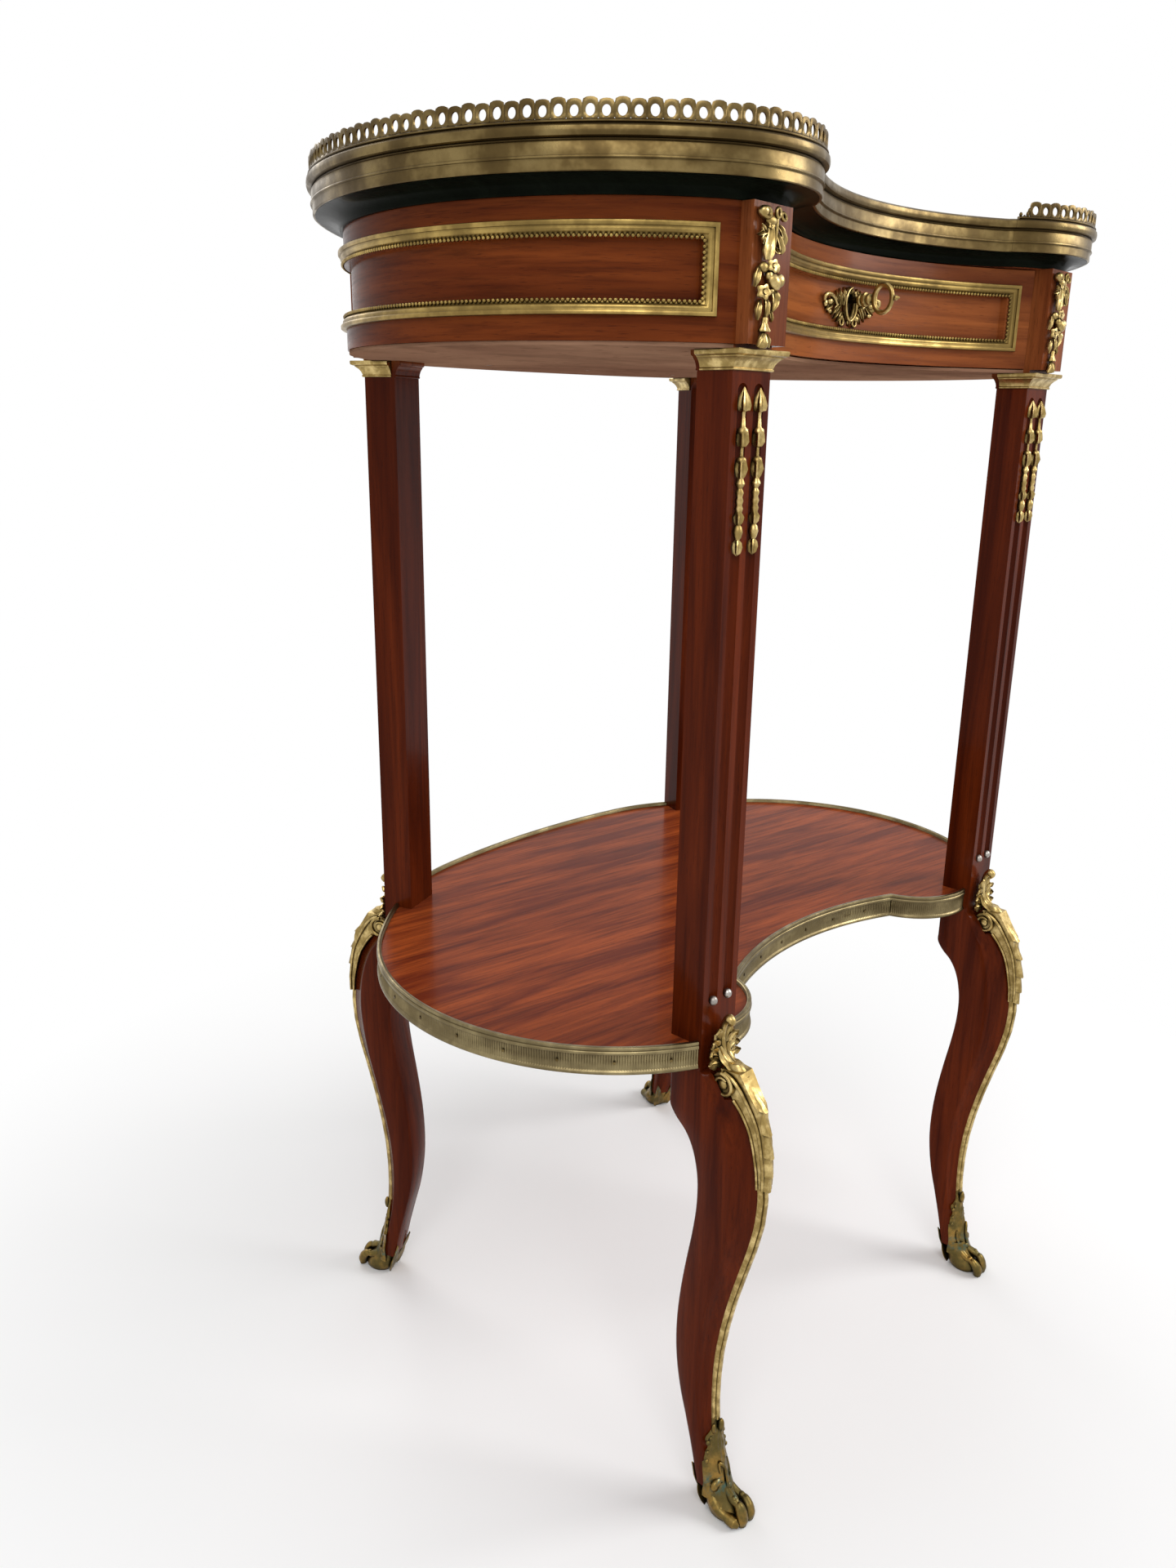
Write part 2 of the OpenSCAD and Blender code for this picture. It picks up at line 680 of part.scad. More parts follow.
// Paw foot: a leaf that wraps the ankle, a spur up the back, and three toes.
module ankle_shell(heights, side, back, front, keel) {
    rings = [for (z = heights) let (row = row_at(max(z, 17)), w = half_width(z) + side) [
        [-w, row[2] + back, z], [w, row[2] + back, z], [w, row[2] - front, z],
        [2.5, row[3] - keel, z], [-2.5, row[3] - keel, z], [-w, row[2] - front, z]
    ]];
    polyhedron(ring_points(rings), tube_faces(len(rings), 6));
}

module ankle_leaf() difference() {
    ankle_shell([50, 40, 17, 14], 1.3, 1, 1.2, 4.2);
    ankle_shell([52, 40, 16.9], 0.1, 3, 0.1, 0.1);
}

module sabot(name) color(gilt) set() corner(name) {
    hull() {
        translate([0, -37.8, 0]) cylinder(r = 10.4, h = 7, $fn = 32);
        translate([0, -27, 14]) cylinder(r = 11, h = 2.8, $fn = 32);
    }
    for (x = [-5.6, 0, 5.6]) translate([x, x == 0 ? -45.8 : -43.4, 0]) intersection() {
        translate([0, 0, 5.4]) sphere(r = 5.2, $fn = 32);
        cylinder(r = 8, h = 15);
    }
    strip([[65, 1.6, 2, 5.2], [60, 5.4, 2, 5.6], [49.8, 6, 2, 5]]);
    ankle_leaf();
    translate([-3, 0, 0]) rotate([90, 0, 90]) linear_extrude(6) polygon([
        [-21, 15], [-17.1, 17.2], [-13.9, 31], [-12.5, 31], [-15.2, 17], [-16.4, 14]
    ]);
}

module sabot_fl() sabot("fl");
module sabot_fr() sabot("fr");
module sabot_bl() sabot("bl");
module sabot_br() sabot("br");

// Shelf board, notched round the posts, with a brass band in four lengths.
module shelf_board() color(wood) set() difference() {
    prism(shelf_z - shelf_t, shelf_z) shelf_plan(-2.3);
    for (n = ["fl", "fr", "bl", "br"]) corner(n)
        slab(-leg_w / 2 - 0.1, leg_w / 2 + 0.1, -leg_d / 2 - 20, leg_d / 2 + 0.1, 200, 400);
}

module shelf_band_steps() {
    shelf_ring(-2.2, 0.8, shelf_z - 13.5, shelf_z - 11.2);
    shelf_ring(-2.2, 0, shelf_z - 11.2, shelf_z - 1.8);
    shelf_ring(-2.2, 0.7, shelf_z - 1.8, shelf_z + 0.2);
    shelf_ring(-2.2, 0.2, shelf_z + 0.2, shelf_z + 0.8);
    shelf_ring(-2.2, 0.4, shelf_z + 0.8, shelf_z + 2.5);
}

module shelf_band_side() {
    intersection() {
        shelf_band_steps();
        prism(shelf_z - 20, shelf_z + 10) lobe_zone(0.1);
    }
}

module shelf_band_right() color(brass) set() shelf_band_side();
module shelf_band_left() color(brass) set() mirror([1, 0, 0]) shelf_band_side();

module shelf_band_back() color(brass) set() intersection() {
    shelf_band_steps();
    prism(shelf_z - 20, shelf_z + 10) back_zone(0.1);
}

module shelf_band_front() color(brass) set() intersection() {
    shelf_band_steps();
    slab(-post_clear + 0.1, post_clear - 0.1, -200, -60, shelf_z - 20, shelf_z + 10);
}

// Small round pins that hold the shelf band.
module pin_at(c, r, a) {
    translate([c[0], c[1], shelf_z - 6.5]) rotate([0, 0, a]) translate([r, 0, 0])
        rotate([0, 90, 0]) cylinder(r = 0.8, h = 0.4, $fn = 16);
}

module band_pins() color(brass) set() {
    for (s = [0, 1]) mirror([s, 0, 0]) {
        for (i = [0:8]) pin_at(lobe_c, lobe_r, -56 + 12 * i);
        for (x = [15, 45, 75, 105]) pin_at(back_c, back_r, acos(x / back_r));
        for (x = [14, 42, 70]) pin_at(shelf_front_c, shelf_front_r - 0.4, acos(x / shelf_front_r));
    }
}

// Drawer: a curved front slab with a sunk field, and an oak box behind it.
module drawer_arc(r0, r1, z0, z1, x) {
    intersection() {
        prism(z0, z1) translate([0, drawer_c]) difference() {
            circle(r = r1, $fn = 240);
            circle(r = r0, $fn = 240);
        }
        slab(-x, x, -200, 0, z0 - 1, z1 + 1);
    }
}

side_top = frieze_z + 52;
side_x = 130.6;
side_t = 7;
box_back = drawer_y + drawer_len;
module drawer_front() color(wood) set() difference() {
    drawer_arc(drawer_r, drawer_r + drawer_t, frieze_z + 0.6, frieze_z + frieze_h - 0.6, post_clear - 0.5);
    drawer_arc(drawer_r - 1, field_r, frieze_z + frame_z + frame_w, frieze_z + frame_top - frame_w,
        drawer_frame_x - frame_w);
    slab(-20.1, 20.1, drawer_y + 9.9, drawer_y + 30, key_h - 12.1, frieze_z + frieze_h);
    translate([0, drawer_y + 20, key_h]) rotate([90, 0, 0]) cylinder(r = 2.2, h = 30);
    slab(-1.2, 1.2, drawer_y - 1, drawer_y + 20, key_h - 6.4, key_h);
}

module drawer_sides() color(oak) set() difference() {
    for (s = [-1, 1]) difference() {
        slab(s > 0 ? side_x - side_t : -side_x, s > 0 ? side_x : -side_x + side_t,
            -135, box_back, frieze_z + 3.9, side_top);
        slab(-side_x + side_t - 3, side_x - side_t + 3, -140, box_back + 1, frieze_z + 5.9, frieze_z + 10.1);
    }
    prism(frieze_z, frieze_z + 60) translate([0, drawer_c]) circle(r = drawer_r + drawer_t + 0.05, $fn = 240);
}

module drawer_bottom() color(oak) set() difference() {
    slab(-side_x + side_t - 2.9, side_x - side_t + 2.9, -132, box_back, frieze_z + 6, frieze_z + 10);
    prism(frieze_z, frieze_z + 60) translate([0, drawer_c]) circle(r = drawer_r + drawer_t + 0.05, $fn = 240);
}

module drawer_back() color(oak) set()
    slab(-side_x + side_t + 0.05, side_x - side_t - 0.05, box_back - 7, box_back,
        frieze_z + 10.05, side_top - 3);

module drawer_frame() color(brass) set() difference() {
    z0 = frieze_z + frame_z;
    z1 = frieze_z + frame_top;
    drawer_arc(drawer_r - frame_out, drawer_r - 0.02, z0, z1, drawer_frame_x);
    drawer_arc(drawer_r - frame_out - 2, drawer_r - frame_out + 1.1,
        z0 + 2.2, z1 - 2.2, drawer_frame_x - 2.2);
    drawer_arc(drawer_r - 8, drawer_r + 1, z0 + frame_w, z1 - frame_w, drawer_frame_x - frame_w);
}

// Leafy plate round the keyhole, curved to lie on the sunk field.
module escutcheon() color(gilt) set() difference() {
    intersection() {
        drawer_arc(field_r - 3.4, field_r - 0.05, key_h - 20, key_h + 20, 40);
        translate([0, 0, key_h - 2.5]) rotate([90, 0, 0]) linear_extrude(200) union() {
            circle(r = 9);
            for (s = [-1, 1]) {
                translate([s * 9, 1]) circle(r = 6.4);
                translate([s * 18, -0.6]) circle(r = 5);
                translate([s * 25.6, 0.2]) circle(r = 4.6);
                translate([s * 5, -5.5]) circle(r = 4.4);
                translate([s * 10, 6]) circle(r = 3.4);
            }
            translate([0, -8.4]) circle(r = 2.8);
        }
    }
    translate([0, drawer_y + 20, key_h]) rotate([90, 0, 0]) cylinder(r = 2.2, h = 60);
    slab(-1.2, 1.2, drawer_y - 20, drawer_y + 20, key_h - 6.4, key_h);
}

// Lock let into the back of the drawer front; the bolt rises into the top board.
lock_y0 = drawer_y + 10;
lock_y1 = drawer_y + 17.4;
lock_top = frieze_z + frieze_h - 0.6;
module lock_case() color(brass) set() difference() {
    slab(-20, 20, lock_y0, lock_y1, key_h - 12, lock_top);
    slab(-18.6, 18.6, lock_y0 + 1.2, lock_y1 - 1.2, key_h - 10.6, lock_top - 1.4);
    slab(-6.2, 6.2, lock_y0 + 2.6, lock_y1 - 1.4, lock_top - 2, lock_top + 1);
    translate([0, lock_y0 + 2, key_h]) rotate([90, 0, 0]) cylinder(r = 1.86, h = 6, $fn = 96);
    slab(-1.2, 1.2, lock_y0 - 1, lock_y0 + 2, key_h - 6.4, key_h);
    for (x = [-16, 16]) translate([x, lock_y1 + 1, lock_top - 5]) rotate([90, 0, 0])
        cylinder(r = 1.1, h = 3, $fn = 24);
}

bolt_throw = 6;
module lock_bolt() color(steel) set() difference() {
    slab(-6, 6, lock_y0 + 3.4, lock_y1 - 1.6, key_h + 7, lock_top);
    translate([0, lock_y1, key_h + 9.5]) rotate([90, 0, 0]) cylinder(r = 1.4, h = 8, $fn = 32);
}

// Oval of the bow of the key, between two arcs, with its long way up.
module bow_oval(r, y, thick) intersection_for(s = [-1, 1])
    translate([0, y + s * bow_shift, key_h]) rotate([0, 90, 0])
        cylinder(r = r, h = thick, center = true, $fn = 120);

// Place from the sunk drawer field, radius and length of the three rings of the collar.
collar = [[9, 3.4, 2.4], [11.6, 4, 2.6], [14.5, 3.2, 2.4]];
module key() color(gilt) set() {
    tip = lock_y0 + 2.4;
    face = drawer_y + panel_sink;
    bow = face - bow_out;
    near = bow + bow_r - bow_shift;
    far = bow - bow_r + bow_shift;
    translate([0, tip, key_h]) rotate([90, 0, 0]) cylinder(r = 1.8, h = tip - near + 1, $fn = 40);
    slab(-0.8, 0.8, lock_y0 + 1.35, tip, key_h - 6, key_h - 0.5);
    for (k = collar) translate([0, face - k[0] + k[2] / 2, key_h]) rotate([90, 0, 0])
        cylinder(r = k[1], h = k[2], $fn = 40);
    difference() {
        bow_oval(bow_r, bow, 2.4);
        bow_oval(bow_r - bow_bar, bow, 4);
    }
    translate([0, far + 1, key_h]) rotate([90, 0, 0]) cylinder(r = 0.9, h = 2.4, $fn = 32);
    translate([0, far - 2.2, key_h]) sphere(r = 1.6, $fn = 32);
}

// Guides beside the drawer on the dust board, and kickers above the drawer sides.
module drawer_guides() color(oak) set() for (s = [0, 1]) mirror([s, 0, 0])
    slab(side_x + 0.6, post_clear - 0.1, guide_y, guide_y + guide_len, dust_top + 0.02, dust_top + guide_h);

module drawer_kickers() color(oak) set() for (s = [0, 1]) mirror([s, 0, 0])
    slab(side_x - 9, post_clear - 0.1, guide_y + 4, guide_y + guide_len, side_top + 0.4,
        frieze_z + frieze_h - 0.02);

module drawer_stop() color(oak) set()
    slab(-24, 24, box_back + 0.3, box_back + 12, dust_top + 0.02, frieze_z + 20);

module lock_screws() color(steel) set() for (x = [-16, 16])
    translate([x, lock_y1 + 0.6, lock_top - 5]) rotate([90, 0, 0]) {
        cylinder(r = 1.9, h = 0.58, $fn = 32);
        cylinder(r = 1, h = 1.6, $fn = 24);
    }

module bottom_screws() color(steel) set() for (x = [-90, 0, 90])
    translate([x, 100, frieze_z - dust_lip + 0.1]) difference() {
        cylinder(r = 2.5, h = 1.7, $fn = 32);
        slab(-3, 3, -0.3, 0.3, -1, 0.6);
    }

top_board();
top_band();
top_band_front();
gallery_left();
gallery_back();
gallery_right();
soffit();
frieze_left();
frieze_right();
frieze_back();
frame_left();
frame_right();
frame_back();
bottom_board();
post_fl();
post_fr();
post_bl();
post_br();
cabriole_fl();
cabriole_fr();
cabriole_bl();
cabriole_br();
capital_fl();
capital_fr();
capital_bl();
capital_br();
flute_drops();
stile_mount_fl();
stile_mount_fr();
stile_mount_bl();
stile_mount_br();
knee_mount_fl();
knee_mount_fr();
knee_mount_bl();
knee_mount_br();
leg_fillets();
sabot_fl();
sabot_fr();
sabot_bl();
sabot_br();
shelf_board();
shelf_band_left();
shelf_band_right();
shelf_band_back();
shelf_band_front();
band_pins();
drawer_front();
drawer_sides();
drawer_back();
drawer_bottom();
drawer_frame();
escutcheon();
lock_case();
lock_bolt();
key();
drawer_guides();
drawer_kickers();
drawer_stop();
lock_screws();
bottom_screws();
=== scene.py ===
import functools
import math

import bmesh
import bpy
from mathutils import Matrix, Vector


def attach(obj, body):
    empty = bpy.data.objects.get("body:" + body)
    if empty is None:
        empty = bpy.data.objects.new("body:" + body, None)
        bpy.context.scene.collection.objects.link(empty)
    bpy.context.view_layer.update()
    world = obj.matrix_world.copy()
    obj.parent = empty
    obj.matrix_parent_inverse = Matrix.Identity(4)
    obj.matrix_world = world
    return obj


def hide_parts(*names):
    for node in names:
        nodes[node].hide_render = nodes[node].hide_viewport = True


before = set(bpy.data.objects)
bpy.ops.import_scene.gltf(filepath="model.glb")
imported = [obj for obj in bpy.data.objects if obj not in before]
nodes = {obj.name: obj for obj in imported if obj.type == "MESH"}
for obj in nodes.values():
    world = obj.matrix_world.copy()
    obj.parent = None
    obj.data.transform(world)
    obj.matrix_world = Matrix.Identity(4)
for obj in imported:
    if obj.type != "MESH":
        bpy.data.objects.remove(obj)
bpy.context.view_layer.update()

# Millimetres as metres. Shapes are written in millimetres, and finishes, floor and lights in metres.
MM = 0.001

# The kidney's plan, drawn with arcs
CENTRE_Y = 5.05
LOBE = Vector((99.5, -18.4))
LOBE_R = 145.5
SHOULDER_R = 330
SHOULDER_FROM = 45
BACK_R = 560
BACK_Y = 158.5
NOSE_R = 49
NOSE_TO = -57.2
FRONT_Y = -96.6
FRONT_R = 214
CORNER_R = 140
SHELF_NOSE_R = 44.1
SHELF_FRONT_Y = -93.8
SHELF_FRONT_R = 218
DRAWER_Y = -103
DRAWER_R = 249

# Heights
LEG_JOINT_Z = 294
SHELF_Z = 309
CAPITAL_Z = 649
FRIEZE_Z = 660
COVE_Z = 718
BAND_Z = 724.7
TOP_Z = 742.3
GALLERY_TOP = 752
KEY_Z = 692.5

# Posts
LEG_W = 29
LEG_D = 20.4
STILE_OUT = 7.3
FRONT_LEG = Vector((152.8, -138))
BACK_LEG = Vector((150.4, 120.8))
BACK_LEG_TURN = 68
FLUTE_X = 6.2
CORNERS = ("fl", "fr", "bl", "br")

# How far pieces lie outside the plan, and how deep the drawer's field is sunk
FRIEZE_D = 2.8
BAND_D = 17.6
GALLERY_D = 17.85
PANEL_SINK = 3.5


def heading(angle):
    """Unit vector at an angle in degrees."""
    return Vector((math.cos(math.radians(angle)), math.sin(math.radians(angle))))


def circle_crossing(c1, r1, c2, r2):
    """The place where two circles cross, to the right of the line from c1 to c2."""
    line = c2 - c1
    apart = line.length
    along = (r1 * r1 - r2 * r2 + apart * apart) / (2 * apart)
    across = math.sqrt(r1 * r1 - along * along)
    unit = line / apart
    return c1 + unit * along + Vector((unit.y, -unit.x)) * across


def angle_to(centre, point):
    return math.degrees(math.atan2(point.y - centre.y, point.x - centre.x))


SHOULDER = LOBE - (SHOULDER_R - LOBE_R) * heading(SHOULDER_FROM)
BACK = Vector((0, BACK_Y - BACK_R))
NOSE = LOBE + (LOBE_R - NOSE_R) * heading(NOSE_TO)
CORNER = circle_crossing(BACK, BACK_R - CORNER_R, SHOULDER, SHOULDER_R - CORNER_R)
BACK_TO = angle_to(BACK, CORNER)
SHOULDER_TO = angle_to(SHOULDER, CORNER)
FRONT = Vector((0, FRONT_Y - FRONT_R))
SHELF_NOSE = Vector((133, -101))
SHELF_NOSE_TO = -83
SHELF_LOBE_FROM = -62
SHELF_FRONT = Vector((0, SHELF_FRONT_Y - SHELF_FRONT_R))
DRAWER = Vector((0, DRAWER_Y - DRAWER_R))


def mirrored(point):
    return Vector((-point.x, point.y))


@functools.lru_cache(maxsize=None)
def kidney_arcs(shelf, offset):
    """The outline's arcs as (centre, radius, from, to), counter-clockwise from the middle of the front."""
    nose, nose_r = (SHELF_NOSE, SHELF_NOSE_R) if shelf else (NOSE, NOSE_R)
    front, front_r = (SHELF_FRONT, SHELF_FRONT_R) if shelf else (FRONT, FRONT_R)
    kink = circle_crossing(nose, nose_r + offset, front, front_r - offset)
    nose_to = SHELF_NOSE_TO if shelf else NOSE_TO
    right = [
        (front, front_r - offset, 90, angle_to(front, kink)),
        (nose, nose_r + offset, angle_to(nose, kink), nose_to),
        (LOBE, LOBE_R + offset, SHELF_LOBE_FROM if shelf else NOSE_TO, SHOULDER_FROM),
        (SHOULDER, SHOULDER_R + offset, SHOULDER_FROM, SHOULDER_TO),
        (CORNER, CORNER_R + offset, SHOULDER_TO, BACK_TO),
        (BACK, BACK_R + offset, BACK_TO, 90),
    ]
    left = [(mirrored(c), r, 180 - b, 180 - a) for c, r, a, b in reversed(right)]
    return right + left


class Edge:
    """The kidney's edge at one offset, walked by millimetres from the middle of the front."""

    def __init__(self, shelf, offset):
        self.shelf = shelf
        self.offset = offset
        self.starts = [0]
        for centre, radius, a, b in kidney_arcs(shelf, offset):
            self.starts.append(self.starts[-1] + radius * math.radians(abs(b - a)))
        self.length = self.starts[-1]

    def split(self, run):
        """The arc that holds a distance, and how far along that arc it is, from 0 to 1."""
        run = run % self.length
        i = max(k for k in range(len(self.starts) - 1) if self.starts[k] <= run)
        return i, (run - self.starts[i]) / (self.starts[i + 1] - self.starts[i])

    def point(self, run, out=0.0):
        """The point at a distance, further out by out. Arcs keep their mitres at every offset."""
        i, t = self.split(run)
        centre, radius, a, b = kidney_arcs(self.shelf, round(self.offset + out, 4))[i]
        return centre + radius * heading(a + (b - a) * t)

    def stations(self, a, b, step):
        """Distances from a to b with a stop at each end of an arc."""
        stops = {a, b}
        for turn in (-1, 0, 1):
            stops.update(s + turn * self.length for s in self.starts if a < s + turn * self.length < b)
        stops = sorted(stops)
        runs = []
        for p, q in zip(stops, stops[1:]):
            n = max(1, math.ceil((q - p) / step))
            runs += [p + (q - p) * j / n for j in range(n)]
        return runs + [b]

    def find(self, measure, low, high):
        """The distance where a measure of the point changes sign, by halving."""
        rising = measure(self.point(high)) > 0
        for _ in range(40):
            middle = (low + high) / 2
            if (measure(self.point(middle)) > 0) == rising:
                high = middle
            else:
                low = middle
        return low


def corner_matrix(name):
    """A post's own frame, whose fluted face looks along -Y, at its place in the plan."""
    side = -1 if name[1] == "l" else 1
    if name[0] == "f":
        return Matrix.Translation((side * FRONT_LEG.x, FRONT_LEG.y, 0))
    turn = Matrix.Rotation(math.radians(side * (BACK_LEG_TURN + 90)), 4, "Z")
    return Matrix.Translation((side * BACK_LEG.x, BACK_LEG.y, 0)) @ turn


def make_object(name, bm, material, body="table", smooth=35, at=None, mirror=False):
    """Turns a bmesh in millimetres of the plan into a piece that rides on a CAD body."""
    bmesh.ops.remove_doubles(bm, verts=bm.verts, dist=0.001)
    bmesh.ops.recalc_face_normals(bm, faces=bm.faces)
    if at is not None:
        bmesh.ops.transform(bm, matrix=at, verts=bm.verts)
    if mirror:
        bmesh.ops.transform(bm, matrix=Matrix.Scale(-1, 4, (1, 0, 0)), verts=bm.verts)
        bmesh.ops.reverse_faces(bm, faces=bm.faces)
    bmesh.ops.translate(bm, vec=(0, CENTRE_Y, 0), verts=bm.verts)
    bmesh.ops.transform(bm, matrix=Matrix.Scale(MM, 4), verts=bm.verts)
    mesh = bpy.data.meshes.new(name)
    bm.to_mesh(mesh)
    bm.free()
    piece = bpy.data.objects.new(name, mesh)
    bpy.context.scene.collection.objects.link(piece)
    mesh.materials.append(material)
    mesh.shade_smooth()
    mesh.set_sharp_from_angle(angle=math.radians(smooth))
    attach(piece, body)
    return piece


def skin(bm, rings, loop=False):
    """Joins closed rings of points into a tube, with an end face at each end or closed as a loop."""
    rows = [[bm.verts.new(p) for p in ring] for ring in rings]
    n = len(rows[0])
    pairs = list(zip(rows, rows[1:])) + ([(rows[-1], rows[0])] if loop else [])
    for a, b in pairs:
        for j in range(n):
            k = (j + 1) % n
            bm.faces.new((a[j], a[k], b[k], b[j]))
    if not loop:
        bm.faces.new(rows[0][::-1])
        bm.faces.new(rows[-1])


def sweep(bm, edge, a, b, profile, step=3.0, loop=False, ripple=0.0, pitch=1.0):
    """Carries a closed profile of (out, height) or (out, height, ripple share) along the kidney's edge."""
    rings = []
    for run in edge.stations(a, b, step):
        i, t = edge.split(run)
        wave = ripple * (0.5 - 0.5 * math.cos(2 * math.pi * run / pitch))
        ring = []
        for point in profile:
            out = point[0] - (wave * point[2] if len(point) > 2 else 0)
            centre, radius, start, end = kidney_arcs(edge.shelf, round(out, 4))[i]
            place = centre + radius * heading(start + (end - start) * t)
            ring.append((place.x, place.y, point[1]))
        rings.append(ring)
    if loop:
        rings.pop()
    skin(bm, rings, loop)


def lifted(profile, height):
    """A profile of (out, height, ...) raised by a height."""
    return [(out, height + z, *rest) for out, z, *rest in profile]


def to_side(side, points):
    """Points given for the right side, on the right for 1 and on the left for -1."""
    return [(side * x, y, z) for x, y, z in points]


def smooth_path(points, n):
    """Catmull-Rom curve through points, n steps between each two."""
    points = [Vector(p) for p in points]
    full = [points[0] * 2 - points[1]] + points + [points[-1] * 2 - points[-2]]
    path = []
    for p0, p1, p2, p3 in zip(full, full[1:], full[2:], full[3:]):
        for j in range(n):
            t = j / n
            path.append(0.5 * (2 * p1 + (p2 - p0) * t + (2 * p0 - 5 * p1 + 4 * p2 - p3) * t * t
                               + (3 * p1 - p0 - 3 * p2 + p3) * t ** 3))
    return path + [points[-1]]


def blend_list(values, t):
    """Value at t from 0 to 1 along a list."""
    x = min(max(t, 0), 1) * (len(values) - 1)
    i = min(int(x), len(values) - 2)
    return values[i] + (values[i + 1] - values[i]) * (x - i)


def tube(bm, points, radii, sides=8, up=(0, -1, 0)):
    """A rod along points, with its radii spread evenly along it."""
    points = [Vector(p) for p in points]
    rings = []
    for i, p in enumerate(points):
        ahead = (points[min(i + 1, len(points) - 1)] - points[max(i - 1, 0)]).normalized()
        across = ahead.cross(Vector(up)).normalized()
        out = across.cross(ahead).normalized()
        r = blend_list(radii, i / (len(points) - 1))
        ring = []
        for j in range(sides):
            a = 2 * math.pi * j / sides
            ring.append(p + across * r * math.cos(a) + out * r * math.sin(a))
        rings.append(ring)
    skin(bm, rings)


def ball(bm, centre, radii, turn=None, segments=12, rings=8):
    """An ellipsoid, turned about its own centre."""
    matrix = Matrix.Translation(centre) @ (turn or Matrix()) @ Matrix.Diagonal((*radii, 1))
    rows = []
    for i in range(1, rings):
        r, z = math.sin(math.pi * i / rings), math.cos(math.pi * i / rings)
        row = [matrix @ Vector((r * math.cos(a), r * math.sin(a), z))
               for a in (2 * math.pi * j / segments for j in range(segments))]
        rows.append([bm.verts.new(place) for place in row])
    for a, b in zip(rows, rows[1:]):
        for j in range(segments):
            bm.faces.new((a[j - 1], a[j], b[j], b[j - 1]))
    for row, pole in ((rows[0], 1), (rows[-1], -1)):
        tip = bm.verts.new(matrix @ Vector((0, 0, pole)))
        for j in range(segments):
            bm.faces.new((row[j - 1], row[j], tip)[::-pole])


def lathe(bm, profile, at, segments=16, waves=0, depth=0.0):
    """Turns (radius, height, wave share) about Z of a frame, with petals where waves is set."""
    rings = []
    for row in profile:
        share = row[2] if len(row) > 2 else 0
        ring = []
        for j in range(segments):
            a = 2 * math.pi * j / segments
            r = row[0] * (1 + depth * share * math.cos(waves * a))
            ring.append(at @ Vector((r * math.cos(a), r * math.sin(a), row[1])))
        rings.append(ring)
    skin(bm, rings)


def leaf(bm, spine, widths, out, lobes=4, notch=0.3, ridge=0.8, curl=0.0, thick=0.5, steps=6, columns=8):
    """A leaf along a bent spine, with lobed edges, a middle rib and edges that curl towards out."""
    path = smooth_path(spine, steps)
    out = Vector(out).normalized()
    rings = []
    for i, p in enumerate(path):
        t = i / (len(path) - 1)
        ahead = (path[min(i + 1, len(path) - 1)] - path[max(i - 1, 0)]).normalized()
        across = ahead.cross(out).normalized()
        face = across.cross(ahead).normalized()
        wave = abs(math.sin(math.pi * lobes * t))
        half = blend_list(widths, t) * (1 - notch + notch * wave)
        front, back = [], []
        for j in range(columns + 1):
            v = 2 * j / columns - 1
            rib = ridge * max(0, 1 - abs(v) * 5) + 0.35 * ridge * math.cos(9 * v) * (1 - t)
            lift = rib + curl * v * v * (0.4 + 0.6 * wave)
            place = p + across * half * v
            front.append(place + face * (lift + thick))
            back.append(place + face * (lift - thick))
        rings.append(front + back[::-1])
    skin(bm, rings)


COLOUR, NUMBER, VECTOR = "NodeSocketColor", "NodeSocketFloat", "NodeSocketVector"


def new_group(name, inputs):
    """A shader node group with named inputs, which puts out a colour, a roughness and a height."""
    group = bpy.data.node_groups.new(name, "ShaderNodeTree")
    for label, kind, value in inputs:
        socket = group.interface.new_socket(label, in_out="INPUT", socket_type=kind)
        if value is not None:
            socket.default_value = value
    for label, kind in (("Color", COLOUR), ("Roughness", NUMBER), ("Height", NUMBER)):
        group.interface.new_socket(label, in_out="OUTPUT", socket_type=kind)
    return group, group.nodes.new("NodeGroupInput"), group.nodes.new("NodeGroupOutput")


def add_node(tree, kind, **settings):
    node = tree.nodes.new(kind)
    for key, value in settings.items():
        setattr(node, key, value)
    return node


def feed_socket(tree, socket, value):
    """Links an output to a socket, or sets the socket to a value. A colour gets its alpha here."""
    if isinstance(value, bpy.types.NodeSocket):
        tree.links.new(value, socket)
    elif socket.type == "RGBA":
        socket.default_value = (*value, 1)
    else:
        socket.default_value = value


def feed(tree, node, **values):
    """Feeds the sockets of a node by their names, with _ for a space."""
    for label, value in values.items():
        feed_socket(tree, node.inputs[label.replace("_", " ")], value)


def noise_node(tree, vector, scale, detail, roughness, distortion=0.0):
    node = add_node(tree, "ShaderNodeTexNoise")
    feed(tree, node, Vector=vector, Scale=scale, Detail=detail, Roughness=roughness, Distortion=distortion)
    return node.outputs[0]


def range_node(tree, value, low, high, to_low=0.0, to_high=1.0):
    node = add_node(tree, "ShaderNodeMapRange")
    for socket, setting in zip(node.inputs, (value, low, high, to_low, to_high)):
        feed_socket(tree, socket, setting)
    return node.outputs[0]


def math_node(tree, operation, a, b):
    node = add_node(tree, "ShaderNodeMath", operation=operation)
    feed_socket(tree, node.inputs[0], a)
    feed_socket(tree, node.inputs[1], b)
    return node.outputs[0]


def mix_colours(tree, factor, a, b):
    node = add_node(tree, "ShaderNodeMix", data_type="RGBA")
    for index, value in ((0, factor), (6, a), (7, b)):
        feed_socket(tree, node.inputs[index], value)
    return node.outputs[2]


def stretched(tree, vector, stretch, turn=(0, 0, 0)):
    """A vector turned by degrees and scaled, which stretches what follows it."""
    node = add_node(tree, "ShaderNodeMapping")
    feed(tree, node, Vector=vector, Rotation=[math.radians(a) for a in turn], Scale=stretch)
    return node.outputs[0]


